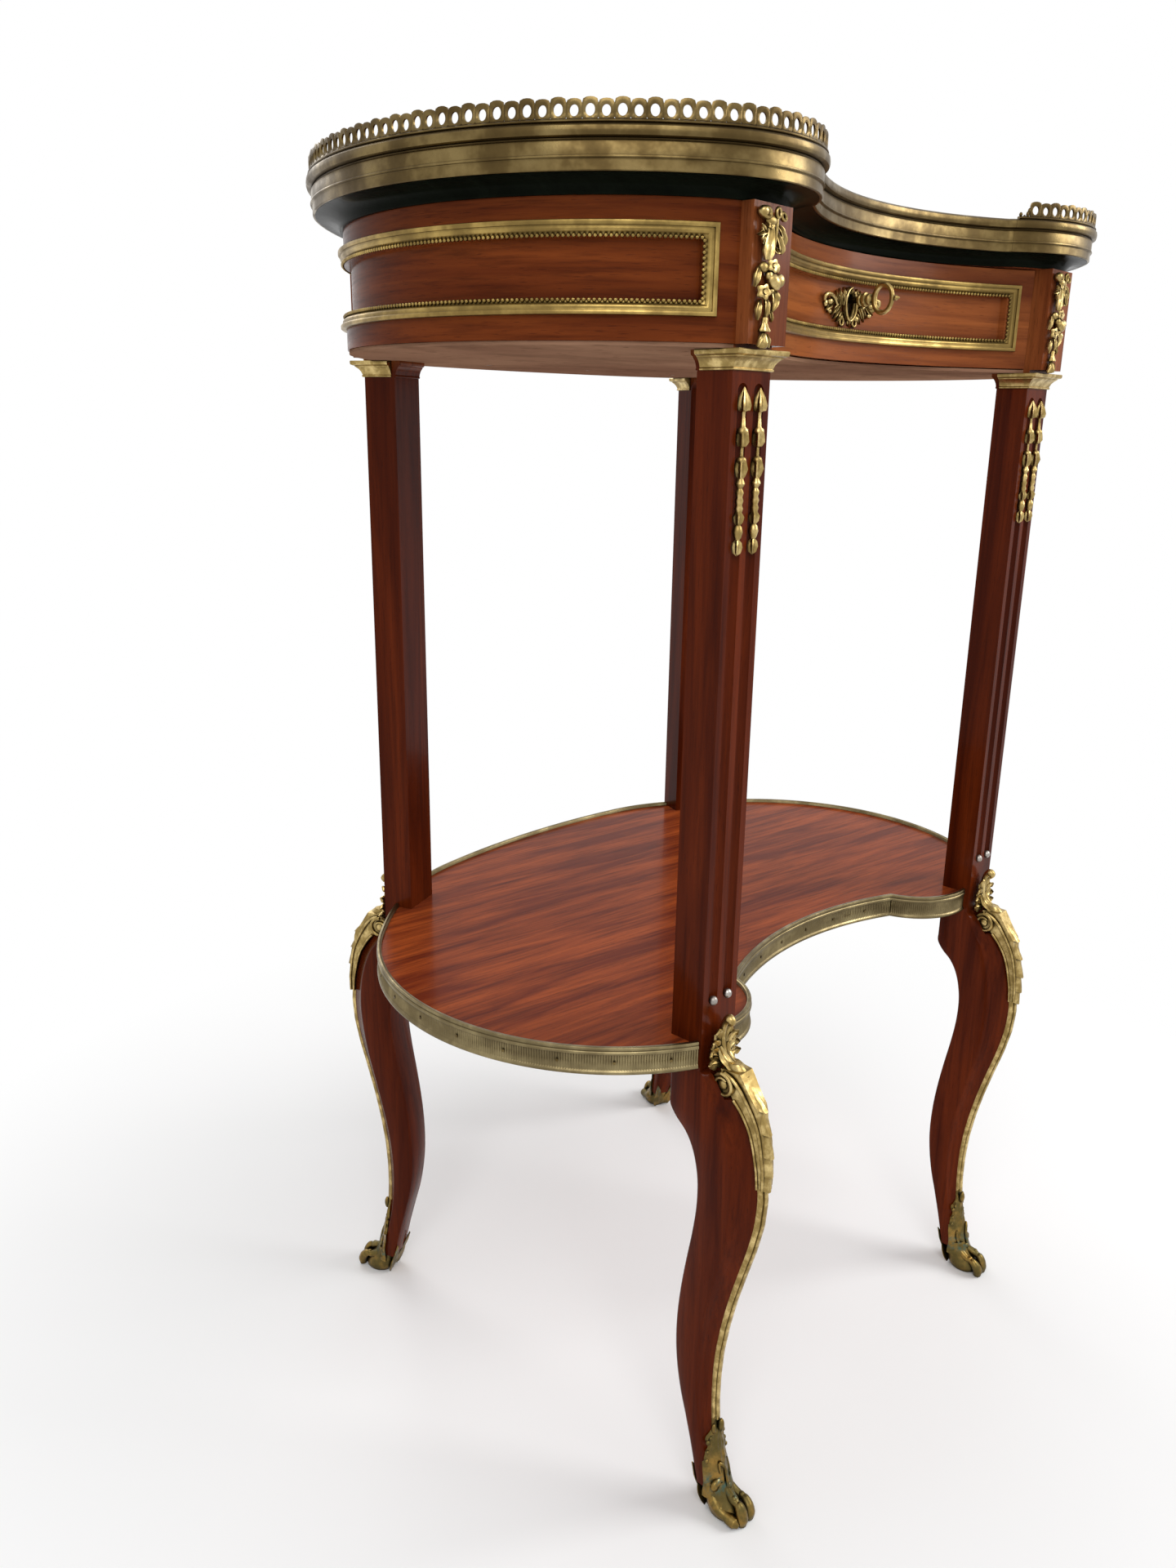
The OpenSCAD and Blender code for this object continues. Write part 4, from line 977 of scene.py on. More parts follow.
# Drop in a flute: radius, height and share of the waves
DROP_PROFILE = [
    (0.2, 642), (2.1, 637.6, 1), (2.9, 634.1, 1), (2.5, 631.9, 1), (1, 631.2), (0.9, 629.2), (1.4, 624.6),
    (2.6, 623.7), (2.8, 622.4), (2.4, 621.3, 1), (2.7, 618, 1), (2.1, 616), (0.8, 615.6), (0.9, 611.6),
    (2.2, 610.9), (2.5, 609.8), (2.2, 608.7, 1), (2.8, 605.9, 1), (1.9, 602.8, 1), (1.5, 601.5),
    (2.5, 599.3), (1.2, 597.1), (2.1, 595.3), (1.5, 593.3), (2.1, 591.5), (1.5, 589.6), (2.1, 588),
    (1.6, 586.3), (2.3, 584.3, 1), (1.9, 581.9, 1), (1.2, 580.5), (2, 579.6), (2.5, 577.2), (1.9, 574.8),
    (1.2, 573.5), (1.8, 572.4, 1), (2.2, 570.2, 1), (1.6, 567.5, 1), (0.1, 566),
]
DROP_OUT = 0.9
PEARL_Z = 333.2
PEARL_OUT = 0.2
PEARL_RADII = (2.5, 2.5, 2.7)


def flute_ornaments():
    drops = bmesh.new()
    pearls = bmesh.new()
    for corner in CORNERS:
        for x in (-FLUTE_X, FLUTE_X):
            at = corner_matrix(corner) @ Matrix.Translation((x, -LEG_D / 2 - DROP_OUT, 0))
            lathe(drops, DROP_PROFILE, at, segments=20, waves=5, depth=0.3)
            ball(pearls, at @ Vector((0, DROP_OUT - PEARL_OUT, PEARL_Z)), PEARL_RADII, segments=16, rings=10)
    piece = make_object("husk_drops", drops, GILT, smooth=50)
    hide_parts("flute_drops")
    make_object("flute_pearls", pearls, PEARL)


# Knee mount: height and Y of its back edge and of its front, in the post's frame
STRAP_EDGE = [
    (297, -18.5), (291, -20.5), (284.5, -24.5), (280, -26.8), (276, -30.5), (272, -33.4), (265.5, -37.4),
    (258, -40.2), (250.6, -42), (243, -43.6), (233, -44.6),
]
MOUNT_FRONT = [
    (300, -28.4), (297, -33), (291, -37), (285, -40.6), (281.5, -44), (278, -45.8), (272, -46.6),
    (268, -48.2), (264, -49.4), (258, -50.4), (252, -50.9), (243, -51), (233, -50.2),
]
# Husks down the knee: top, bottom and half width. Heights of the core behind them.
HUSKS = [(299, 279.4, 5.6), (284, 266.6, 5), (271, 253.4, 4.6), (258, 241.8, 4.3), (246, 232.6, 4)]
CORE_HEIGHTS = (296, 292, 288, 284, 280, 276, 272, 266, 260, 254, 248, 242, 236, 233.2)
# Stem, leaves on its right, leaf on the cheek and the outer rim, as points in the post's frame
STEM = [
    (0, -24, 294), (0, -17, 298), (0, -13.8, 305), (0, -13.2, 313), (0, -14.6, 319.5), (0, -17.2, 322.6),
    (0, -19, 321.4), (0, -18.6, 319),
]
ACANTHUS = [
    [(0.8, -12.6, 301), (3, -13, 309), (5.6, -13.8, 315.5), (6.8, -16.4, 318.6)],
    [(0.8, -12.8, 300), (4.6, -13.4, 305), (8.8, -13.8, 309.6), (11.2, -15.8, 311.4)],
    [(0.8, -13.4, 299), (5.2, -13.8, 301.8), (10.2, -13.6, 304), (13.2, -15.6, 304.2)],
    [(1, -15, 297.6), (5.4, -14.6, 298), (10.4, -13.8, 298.6), (14, -15.6, 299.2)],
]
CHEEK_LEAF = [(2.2, -31, 292), (2.6, -24, 296), (2.6, -17.5, 300), (3.4, -14, 306)]
OUTER_RIM = [
    (7.2, -21, 294.6), (7, -26, 292.6), (6.4, -30.8, 288), (5.8, -34.2, 283), (5.2, -38, 277),
    (4.8, -41, 271), (4.8, -44, 263), (4.6, -46, 252), (4.4, -47.2, 243), (4.2, -47.4, 233),
]
# Volute: its centre, its coil and the section of its drum as half width and radius
VOLUTE_Y = -20
VOLUTE_Z = 287
COIL_TURN = 15
COIL_STEPS = 28
COIL_R = (7, 3.6)
DRUM = [(-6.2, 2), (-6.9, 5.2), (-7.1, 6.9), (-5.8, 7.3), (5.8, 7.3), (7.1, 6.9), (6.9, 5.2), (6.2, 2)]


def knee_husk(bm, top, bottom, wide):
    """One ribbed husk of the chain down the knee, with its lip at the bottom."""
    rings = []
    for j in range(8):
        t = j / 7
        z = top + (bottom - top) * t
        back = at_height(STRAP_EDGE, z)[0] - 2.2
        depth = (at_height(MOUNT_FRONT, z)[0] - back) * (0.7 + 0.3 * t ** 1.5)
        half = wide * (0.66 + 0.34 * math.sin(math.pi * 0.62 * t))
        ring = []
        for i in range(13):
            v = i / 6 - 1
            rib = 0.95 * (1 - abs(math.cos(2 * math.pi * v))) * (0.3 + 0.7 * t)
            dip = (1 - abs(v)) * 2.2 * t * t
            ring.append((half * v, back + depth * math.sqrt(max(0, 1 - v * v * 0.92)) - rib + 0.7, z - dip))
        ring += [(half * 0.8, back + 1, z), (-half * 0.8, back + 1, z)]
        rings.append(ring)
    skin(bm, rings)


def knee_taper(z):
    """How far the knee mount widens at a height, from 0 below the volute to 1 at its top."""
    return max(0, (z - 272) / 25)


def knee_mounts():
    bm = bmesh.new()
    tube(bm, smooth_path(STEM, 5), [2.6, 2.3, 1.8, 1.7, 2, 2.7, 2.4, 1], sides=12, up=(1, 0, 0))
    for s in (-1, 1):
        for path in ACANTHUS:
            leaf(bm, to_side(s, path), [2.6, 4.3, 3.7, 0.5], (0, -1, 0), lobes=3, notch=0.4, curl=1,
                 thick=0.45)
        leaf(bm, to_side(s, CHEEK_LEAF), [3.4, 3.2, 2.8, 1.4], (s * 0.5, -0.6, 0.6), lobes=2, notch=0.15,
             ridge=0.6, thick=0.6)
        centre = Vector((s * SCROLL_X, VOLUTE_Y, VOLUTE_Z))
        coil = []
        for k in range(COIL_STEPS):
            a = math.radians(95 - k * COIL_TURN)
            r = blend_list(COIL_R, k / (COIL_STEPS - 1))
            coil.append(centre + Vector((-s * 0.012 * k, -r * math.cos(a), r * math.sin(a))))
        tube(bm, coil, [1.2, 1.15, 1, 0.9], up=(1, 0, 0))
        ball(bm, centre + Vector((-s, 0, 0)), (1.5, 3, 3))
        rim = [(5.2 + 2.2 * knee_taper(z), y, z) for z, y in STRAP_EDGE if z < 283]
        tube(bm, smooth_path(to_side(s, rim), 4), [1, 0.9, 0.8], up=(1, 0, 0))
        tube(bm, smooth_path(to_side(s, OUTER_RIM), 4), [1.1, 1, 0.9, 0.8], up=(1, 0, 0))
    rings = []
    for a in range(0, 360, 20):
        c, v = math.cos(math.radians(a)), math.sin(math.radians(a))
        rings.append([(x, VOLUTE_Y + r * c, VOLUTE_Z + r * v) for x, r in DRUM])
    skin(bm, rings, loop=True)
    ball(bm, (0, VOLUTE_Y, VOLUTE_Z), (6.3, 2.2, 2.2))
    rings = []
    for z in CORE_HEIGHTS:
        back = at_height(STRAP_EDGE, z)[0] + 0.6
        front = at_height(MOUNT_FRONT, z)[0] + 3.6
        w = 5.2 + 1.6 * knee_taper(z)
        half = [(w, back), (w * 0.88, (back + front) / 2), (w * 0.8, front)]
        rings.append([(-w, back, z)] + [(x, y, z) for x, y in half] + [(-x, y, z) for x, y in half[:0:-1]])
    skin(bm, rings)
    for husk in HUSKS:
        knee_husk(bm, *husk)
    at_corners("knee_leaf_", bm, GILT, "knee_mount_", 50)


# Straps down the keels: top and bottom, and the section of the rod on them
STRAP_Z = (233, 62)
STRAP_STEPS = 42
ROD_SECTION = [(-1.5, 0), (1.5, 0), (1.5, 1), (1.1, 1.5), (0, 1.7), (-1.1, 1.5), (-1.5, 1)]


def keel_straps():
    bm = bmesh.new()
    for corner in CORNERS:
        rings, rod = [], []
        for j in range(STRAP_STEPS + 1):
            z = blend_list(STRAP_Z, j / STRAP_STEPS)
            s, k = at_height(LEG_ROWS, z)[1:]
            w = 3.4 - 0.7 * j / STRAP_STEPS
            cant = k + (s - k) * (w - KEEL_X) / (half_width(z) - KEEL_X)
            rings.append([
                (-w, cant + 0.4, z), (w, cant + 0.4, z), (w, cant - 0.7, z), (w - 0.8, k - 1.5, z),
                (0.8 - w, k - 1.5, z), (-w, cant - 0.7, z),
            ])
            rod.append([(x, k - 1.2 - y, z) for x, y in ROD_SECTION])
        for part in (rings, rod):
            start = len(bm.verts)
            skin(bm, part)
            bm.verts.ensure_lookup_table()
            bmesh.ops.transform(bm, matrix=corner_matrix(corner), verts=bm.verts[start:])
    piece = make_object("keel_straps", bm, GILT, smooth=30)
    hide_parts("leg_fillets")


cabriole_legs()
capitals()
flute_ornaments()
knee_mounts()
keel_straps()


# Sabot: height and half width of its leaf over the ankle
SABOT_TOP = 65
SABOT_STEP = 1.06
SABOT_STEPS = 51
SABOT_EDGE = [
    (SABOT_TOP, 0.5), (64.2, 2.1), (62, 3), (58, 3.2), (55.4, 3.7), (53, 5.4), (51, 7.2), (49, 7.6),
    (47, 6.6), (45, 6.8), (43.4, 7.2), (42, 8.4), (40.4, 8.6), (38, 9.4), (34, 10), (30, 10.6),
    (26, 10.8), (22, 11.4), (18, 12.6), (15, 13.8), (12, 14.6),
]
# Balls on the leaf: height, distance across the keel and radius
LEAF_TIPS = [(48.2, 7.2, 1.4), (50.6, 5.6, 1.1), (42, 8.2, 1.2), (36.6, 9.2, 1.3)]
# Buds: height, across, out and radii
SABOT_BUDS = [
    ((57.8, 0.9, 3.1), (2, 2, 4.7)), ((20.2, -5, -0.2), (5.4, 2.8, 4.4)),
    ((17.4, 0.6, 1.2), (2.4, 2.2, 3.4)), ((56.4, -3.6, 1.8), (1.3, 1.6, 3.6)),
]
# Ribs of the leaf: across and height of each point
ARCH_RIB = [
    (-3.6, 28), (-3.8, 32), (-3.4, 34.8), (-1.6, 32.6), (-0.2, 29.6), (0, 25), (-0.2, 20), (-0.4, 16.6),
]
SIDE_RIB = [(6.4, 31), (6.6, 26), (6.2, 21), (5.4, 17)]
REAR_LEAF = [(3, -23, 2), (5, -20.4, 9), (6.2, -18.4, 15), (7, -16.4, 20), (8.8, -13.8, 28)]
# Paw: height, half width, back and front
PAW_ROWS = [
    (0, 8.6, -24.8, -43.5), (1.2, 9.5, -23.4, -44.8), (4, 9.9, -21.8, -45.2), (7, 9.6, -20.8, -44),
    (10, 9, -20, -41.6), (13, 8.7, -19.2, -38.8), (16, 8.9, -18.4, -36.4), (19, 9.3, -17.6, -34.6),
    (22, 9.6, -18.5, -33.2),
]
# Toes: path and radii, and the knuckles' places and radii. Tips past TOE_Y are drawn in by TOE_SHARE.
TOE_Y = -44
TOE_SHARE = 0.88
TOES = [
    ([(-5.5, -27, 13), (-7.2, -31, 9), (-7.8, -35, 6.2), (-7.4, -38.5, 5.2), (-6.8, -42, 4.2),
      (-6.5, -45.6, 3.4), (-6.4, -48.6, 2.4)], [4, 4.1, 3.4, 3.2, 3.8, 3.8, 1.2]),
    ([(-0.3, -31, 17), (-0.8, -35.5, 15.6), (-1.6, -40.4, 13.6), (-1.8, -42.8, 12.6), (-1.8, -45, 11.6),
      (-1.8, -46.8, 8.4), (-1.9, -47.6, 4.4), (-2, -47.6, 0.8)], [2.6, 2.6, 3, 2.3, 3.1, 3.8, 4.1, 3.3]),
    ([(4.4, -29, 16.4), (5, -33.4, 13.6), (5.6, -38, 11.4), (6, -41.4, 11.2), (6, -43.6, 10.4),
      (5.6, -46.2, 8), (5, -47.9, 4.6), (4.8, -47.8, 0.8)], [2.6, 2.9, 2.7, 2.2, 2.9, 3.5, 3.8, 3.1]),
]
KNUCKLES = [
    ((-1.8, -40.6, 14.6), 2.3), ((-1.8, -44.6, 12.6), 2.3), ((5.8, -40.8, 12.2), 2.1),
    ((6, -43.8, 11.2), 2.1), ((-7.2, -35.4, 7.6), 2.6),
]
# Ankle: where the wood ends and how the sabot draws in below it
FOOT_Z = 17
FOOT_SLOPE = 0.32
LEAF_OUT = 1.25
VEIN_DEPTH = 0.5
LIP_DEPTH = 0.9


def on_ankle(z, across, out):
    """A point on the ankle of the leg, across mm from the keel, out mm off the wood."""
    s, k = at_height(LEG_ROWS, max(z, FOOT_Z))[1:]
    drop = max(0, FOOT_Z - z) * FOOT_SLOPE
    half = half_width(max(z, FOOT_Z))
    reach = abs(across)
    if reach <= half:
        blunt = max(0, reach - KEEL_X) / (half - KEEL_X)
        return Vector((across, k + (s - k) * blunt - out - drop, z))
    return Vector((math.copysign(half + out, across), s + (reach - half) - drop, z))


def sabots():
    """Left sabots as drawn here, right ones as reflections."""
    bm = bmesh.new()
    rings = []
    for z in [SABOT_TOP - SABOT_STEP * j for j in range(SABOT_STEPS)]:
        edge = at_height(SABOT_EDGE, z)[0]
        outer, inner = [], []
        for i in range(21):
            v = i / 10 - 1
            vein = VEIN_DEPTH * math.cos(14 * v) * math.cos(0.4 * z + 3 * abs(v)) * min(1, edge / 6)
            lip = LIP_DEPTH * abs(v) ** 5 * (1 if 38 < z < 54 else 0.4)
            outer.append(on_ankle(z, edge * v, LEAF_OUT + vein + lip))
            inner.append(on_ankle(z, edge * v, 0.06))
        rings.append(outer + inner[::-1])
    skin(bm, rings)
    for s in (-1, 1):
        for z, across, size in LEAF_TIPS:
            ball(bm, on_ankle(z, s * across, 1.5), (size, size * 0.9, size * 1.15))
        leaf(bm, to_side(s, REAR_LEAF), [6, 4.8, 4.4, 3, 2.4, 0.4], (0, 1, 0), lobes=2, ridge=0.3, thick=0.4)
    for place, radii in SABOT_BUDS:
        ball(bm, on_ankle(*place), radii)
    for rib, out, radii in (
        (ARCH_RIB, 2.2, [0.6, 0.9, 1.1, 1.1, 1.1, 1]), (SIDE_RIB, 1.5, [0.6, 1.1, 1.2, 1.6]),
    ):
        tube(bm, smooth_path([on_ankle(z, x, out) for x, z in rib], 4), radii, up=(1, 0, 0))
    rings = []
    for z, rx, back, front in PAW_ROWS:
        ring = []
        for j in range(32):
            a = 2 * math.pi * j / 32
            c, v = math.cos(a), math.sin(a)
            bend = math.copysign(abs(c) ** 0.85, c)
            ring.append((rx * bend, (back + front) / 2 + (back - front) / 2 * v, z))
        rings.append(ring)
    skin(bm, rings)
    for path, radii in TOES:
        tube(bm, smooth_path(path, 6), radii, sides=16, up=(1, 0, 0))
    for place, r in KNUCKLES:
        ball(bm, place, (r, r, r))
    for vert in bm.verts:
        vert.co.z = max(vert.co.z, 0.02)
        if vert.co.y < TOE_Y:
            vert.co.y = TOE_Y + (vert.co.y - TOE_Y) * TOE_SHARE
    at_corners("paw_sabot_", bm, SABOT_BRONZE, "sabot_", 50, mirror=True)


def ribbon_ring(bm, centre, radii, thick, turn=0.0, tall=1.0):
    """A loop of ribbon that faces the front."""
    rings = []
    for j in range(20):
        a = 2 * math.pi * j / 20
        ring = []
        for i in range(8):
            b = 2 * math.pi * i / 8
            r = 1 + thick * math.cos(b) / max(radii)
            x, z = radii[0] * r * math.cos(a), radii[1] * r * math.sin(a)
            across = x * math.cos(turn) - z * math.sin(turn)
            up = x * math.sin(turn) + z * math.cos(turn)
            ring.append((centre[0] + across, centre[1] + tall * thick * math.sin(b), centre[2] + up))
        rings.append(ring)
    skin(bm, rings, loop=True)


def facing(x, y, z):
    """Frame at a place whose Z looks to the front."""
    return Matrix.Translation((x, y, z)) @ Matrix.Rotation(math.radians(90), 4, "X")


# Flower of radius 1: radius, height and share of the petals
FLOWER_PROFILE = [
    (0.05, 0.7), (0.3, 0.72), (0.36, 0.5), (0.55, 0.62, 0.4), (0.95, 0.5, 1), (1, 0.25, 1), (0.7, 0, 0.6),
    (0.1, -0.2),
]
PETALS = 5


def flower(bm, place, r):
    rows = [(out * r, z * r, *share) for out, z, *share in FLOWER_PROFILE]
    lathe(bm, rows, facing(*place), segments=30, waves=PETALS, depth=0.16)


# Ribbon and fruit on a stile, with x across, out from the mount's own plane and the height.
# Leaves: path and half widths.
STILE_LEAVES = [
    ([(-1, -0.6, 710), (-0.4, -1, 705), (-1.6, -1.4, 699), (-1.8, -1.2, 694.6)], [1.9, 1.8, 2.6, 2.7, 1.6]),
    ([(3, 0, 709.6), (5, -0.8, 707.4), (6.6, -0.6, 704.4), (6.4, 0, 701.4)], [0.8, 1.2, 1.3, 1]),
    ([(2.4, -0.6, 706), (3.6, -1.4, 703), (5, -1.2, 700), (5.2, -0.4, 698)], [0.7, 1.3, 1.6, 0.5]),
    ([(2.2, 0, 699.6), (3.4, -0.8, 698.8), (5.6, -0.4, 699.4)], [0.5, 1.2, 0.4]),
    ([(-2.4, -0.4, 706.4), (-4, -1.4, 705.6), (-6.6, -0.4, 704)], [0.7, 1.5, 0.3]),
    ([(-3.2, -0.6, 705), (-4.6, -1.6, 706.6), (-5, -0.6, 708)], [0.5, 1, 0.3]),
    ([(-3, -0.4, 704.6), (-4.2, -1.4, 703), (-4, -0.4, 701.2)], [0.6, 1.1, 0.3]),
    ([(-4.4, 0.6, 691.6), (-5.6, -0.6, 688), (-6.2, 0.2, 683.4)], [0.5, 1.7, 0.4]),
    ([(2.4, -0.4, 682.6), (3.4, -1.2, 678.6), (2.2, -0.4, 673.8)], [0.9, 2, 0.4]),
    ([(-3.6, 0, 678), (-4.6, -0.8, 674), (-4.4, 0, 670)], [0.6, 1.5, 0.4]),
    ([(-1, -0.4, 679.4), (-0.8, -1.4, 675), (-1.2, -0.4, 670.6)], [0.7, 1.4, 0.4]),
    ([(1, 0, 674.6), (2, -0.8, 672), (2.4, 0, 669.8)], [0.4, 1, 0.3]),
]
# Fruit and knots: place, radii and tilt in degrees
STILE_FRUIT = [
    ((-4.6, -1, 713.6), (1.9, 2.6, 2.4), 0), ((-0.6, -1.2, 710.4), (2.6, 1.8, 2.2), 0),
    ((-2.6, -0.6, 691.6), (2.1, 1.9, 2.3), 0), ((3.4, -0.8, 691.8), (1.5, 1.6, 2.2), 0),
    ((1.6, -1.8, 685.8), (2.6, 3.1, 3.7), -24), ((-0.4, -1.2, 688.4), (1.5, 1.8, 2.2), 0),
    ((5.2, -0.8, 687), (2.1, 2.4, 2.9), 0), ((0.4, -2.4, 682.2), (0.8, 0.9, 0.9), 0),
    ((4, -1.2, 680.4), (1.5, 1.7, 2.2), -20),
]
STILE_FLOWERS = [((-1, -1.4, 708.4), 1.5), ((0.4, -1.6, 692.4), 2.7), ((-3.4, -1.2, 681.4), 3.1)]
# Loops of ribbon: centre, radii, thickness, turn in radians and how far they stand out
STILE_RIBBONS = [
    ((-3.8, -1.4, 713.2), (1.7, 2), 1, 0.5, 1.9), ((1.5, -2.4, 713.8), (1, 1.9), 0.75, 0, 1.3),
    ((5.4, -1, 713), (1, 1.6), 0.75, 0.5, 1.5),
]
RIBBON_TAIL = [(1.5, -2.2, 711.8), (1.6, -2, 706), (1.4, -1.4, 700)]
# Buds at the foot: x, out, profile, petals and their depth
STILE_BUDS = [
    (-0.9, -0.8, [(0.1, 671.8), (0.9, 671.4), (1.2, 670.6, 0.5), (1, 669, 0.6), (1.5, 667, 1),
                  (2.1, 665.9, 1), (2, 665.3, 0.6), (0.6, 665)], 8, 0.12),
    (-1.2, -0.6, [(0.5, 665.2), (1, 664.6, 1), (1.7, 663, 1), (2.3, 660.8, 1), (2.2, 659.4, 1),
                  (1.5, 658.4, 0.6), (0.1, 658.1)], 4, 0.2),
]
BUD_PETAL = [(0.8, -1.4, 664.4), (2, -1.6, 661.6), (2.8, -0.6, 659)]
STILE_SPREAD = 1.5
STILE_SHIFT = -3.8


def stile_mounts():
    plane = -LEG_D / 2 - STILE_OUT - 1.2

    def at(x, out, z):
        return (x, plane + out, z)

    bm = bmesh.new()
    for centre, radii, thick, turn, tall in STILE_RIBBONS:
        ribbon_ring(bm, at(*centre), radii, thick, turn, tall)
    tube(bm, smooth_path([at(*p) for p in RIBBON_TAIL], 4), [0.6, 0.5, 0.45])
    for place, radii, tilt in STILE_FRUIT:
        large = max(radii) > 2.8
        ball(bm, at(*place), radii, Matrix.Rotation(math.radians(tilt), 4, "Y"), 16 if large else 12,
             12 if large else 8)
    for place, r in STILE_FLOWERS:
        flower(bm, at(*place), r)
    for path, widths in STILE_LEAVES:
        leaf(bm, [at(*p) for p in path], widths, (0, -1, 0), lobes=2, notch=0.15, ridge=0.7, curl=0.5,
             steps=5, columns=6)
    for x, out, profile, petals, depth in STILE_BUDS:
        lathe(bm, profile, Matrix.Translation(at(x, out, 0)), 24, petals, depth)
    for s in (-1, 1):
        petal = [at(s * x - 1.2, out, z) for x, out, z in BUD_PETAL]
        leaf(bm, petal, [0.5, 1.1, 0.3], (0, -1, 0), lobes=1, notch=0.1, ridge=0.5, thick=0.4, steps=4,
             columns=6)
    for vert in bm.verts:
        vert.co.x = vert.co.x * STILE_SPREAD + STILE_SHIFT
    at_corners("ribbon_and_fruit_", bm, GILT, "stile_mount_", 50)


FIELD_R = DRAWER_R + PANEL_SINK
FIELD_FRONT = DRAWER.y + FIELD_R
# Keyhole plate, drawn for the right side with x across, out from the drawer's field and the height
PLATE_SCROLL = [
    (26.6, -1.6, 690.6), (28.2, -2, 691.4), (27.6, -2.4, 693.4), (24.4, -2.5, 694.2), (20.4, -2.6, 693.8),
    (16.6, -2.4, 692.2), (13.6, -2.2, 689.4), (11.2, -1.8, 688),
]
PLATE_KNOTS = [
    ((21, -1.6, 690.6), (2.7, 1.7, 1.7)), ((24.6, -1, 689.6), (2.2, 1.1, 1.9)),
    ((20.6, -1.3, 685.6), (1.7, 1.5, 1.3)), ((8.2, -1.4, 683.4), (2.6, 1.5, 1.8)),
]
PLATE_LEAVES = [
    ([(11, -1.8, 690), (14.4, -1.6, 687.4), (18, -0.8, 684)], [0.8, 1.3, 0.4]),
    ([(9.6, -1.8, 689), (12.6, -1.8, 685.6), (15.8, -0.8, 682.2)], [0.9, 1.5, 0.4]),
    ([(12, -1.2, 690), (13.8, -1.6, 693.4), (14.6, -0.6, 696.6)], [1.2, 1.3, 0.3]),
    ([(8.4, -1.4, 690), (10.4, -1.8, 694.4), (10.6, -0.6, 698)], [1.6, 1.7, 0.3]),
    ([(5.4, -1.8, 690), (6.6, -2.2, 695), (6.6, -0.8, 698.8)], [1.5, 1.9, 0.3]),
    ([(16.4, -1.2, 691), (18.6, -1.4, 692.4), (19.6, -0.4, 695.2)], [0.8, 1.1, 0.3]),
    ([(17, -1.2, 690.4), (21, -1, 688), (24.4, -0.6, 686.2)], [1.2, 1.7, 0.4]),
    ([(7, -1.4, 686), (9.6, -1.8, 683.4), (12.4, -0.6, 680.8)], [1, 1.4, 0.3]),
]
# Rim round the keyhole and the leaves over and under it
PLATE_RIM = [
    (0.6, -3, 699.2), (-2.6, -3.1, 697.8), (-4.8, -3.1, 694.6), (-5.2, -3.1, 690), (-4.6, -3.1, 686),
    (-2.2, -3, 682.8), (0.4, -2.8, 681.8), (3.2, -3, 683.4), (4.9, -3.1, 686.6), (5.2, -3.1, 690.6),
    (4.4, -3.1, 694.6), (3, -3.1, 696.6), (5.4, -2.6, 697.4), (7.6, -1.6, 698.8),
]
UPPER_TIP = [(-1.2, -2, 696.4), (-0.4, -2.4, 698), (0.6, -1.4, 699.3)]
LOWER_TIP = [(0, -1.8, 683), (-0.4, -2.2, 681), (-0.2, -1.2, 679.2)]
PLATE_RING = (6.6, -1.3, 681.2)
KEYHOLE_RING = (0, -1.4, 690.5)
# Cup in the keyhole, whose dark brass is painted shade: its profile, how far it drops and how tall it is.
CUP_PROFILE = [(1.9, -0.1), (1.9, 0.12), (4.2, 0.3), (4.4, 0.16)]
CUP_DROP = 1.6
CUP_TALL = 1.7


def keyhole_plate():
    """Rococo scrolls round the keyhole, drawn flat and then laid on the hollow drawer front, and a dark cup
    in the keyhole as painted shade.
    """
    bm = bmesh.new()
    for s in (-1, 1):
        tube(bm, smooth_path(to_side(s, PLATE_SCROLL), 5), [0.8, 1.2, 1.3, 1.2, 1, 0.8, 0.5])
        for (x, out, z), radii in PLATE_KNOTS:
            ball(bm, (s * x, out, z), radii)
        ribbon_ring(bm, to_side(s, [PLATE_RING])[0], (1.9, 2.1), 0.8)
        for path, widths in PLATE_LEAVES:
            leaf(bm, to_side(s, path), widths, (0, -1, 0), lobes=2, notch=0.2, curl=0.6, thick=0.4, steps=5,
                 columns=6)
    tube(bm, smooth_path(PLATE_RIM, 5), [0.5, 0.75, 0.8, 0.8, 0.75, 0.7, 0.4])
    ribbon_ring(bm, KEYHOLE_RING, (4.9, 8.2), 1.2, tall=1.2)
    leaf(bm, UPPER_TIP, [1.6, 1.4, 0.3], (0, -1, 0), lobes=1)
    leaf(bm, LOWER_TIP, [1.8, 1.9, 0.3], (0, -1, 0), lobes=1)
    for vert in bm.verts:
        vert.co.y = min(vert.co.y, -0.06) + DRAWER.y + math.sqrt(FIELD_R ** 2 - vert.co.x ** 2)
    piece = make_object("keyhole_scrolls", bm, GILT, body="drawer", smooth=50)
    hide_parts("escutcheon")
    # Painted shade: a dark brass cup stands in the keyhole, which is dark only from shadow.
    bm = bmesh.new()
    lathe(bm, CUP_PROFILE, facing(0, FIELD_FRONT, KEY_Z), segments=32)
    for vert in bm.verts:
        vert.co.z = KEY_Z - CUP_DROP + (vert.co.z - KEY_Z) * CUP_TALL
    make_object("keyhole_shade_cup", bm, DARK_BRASS, body="drawer")


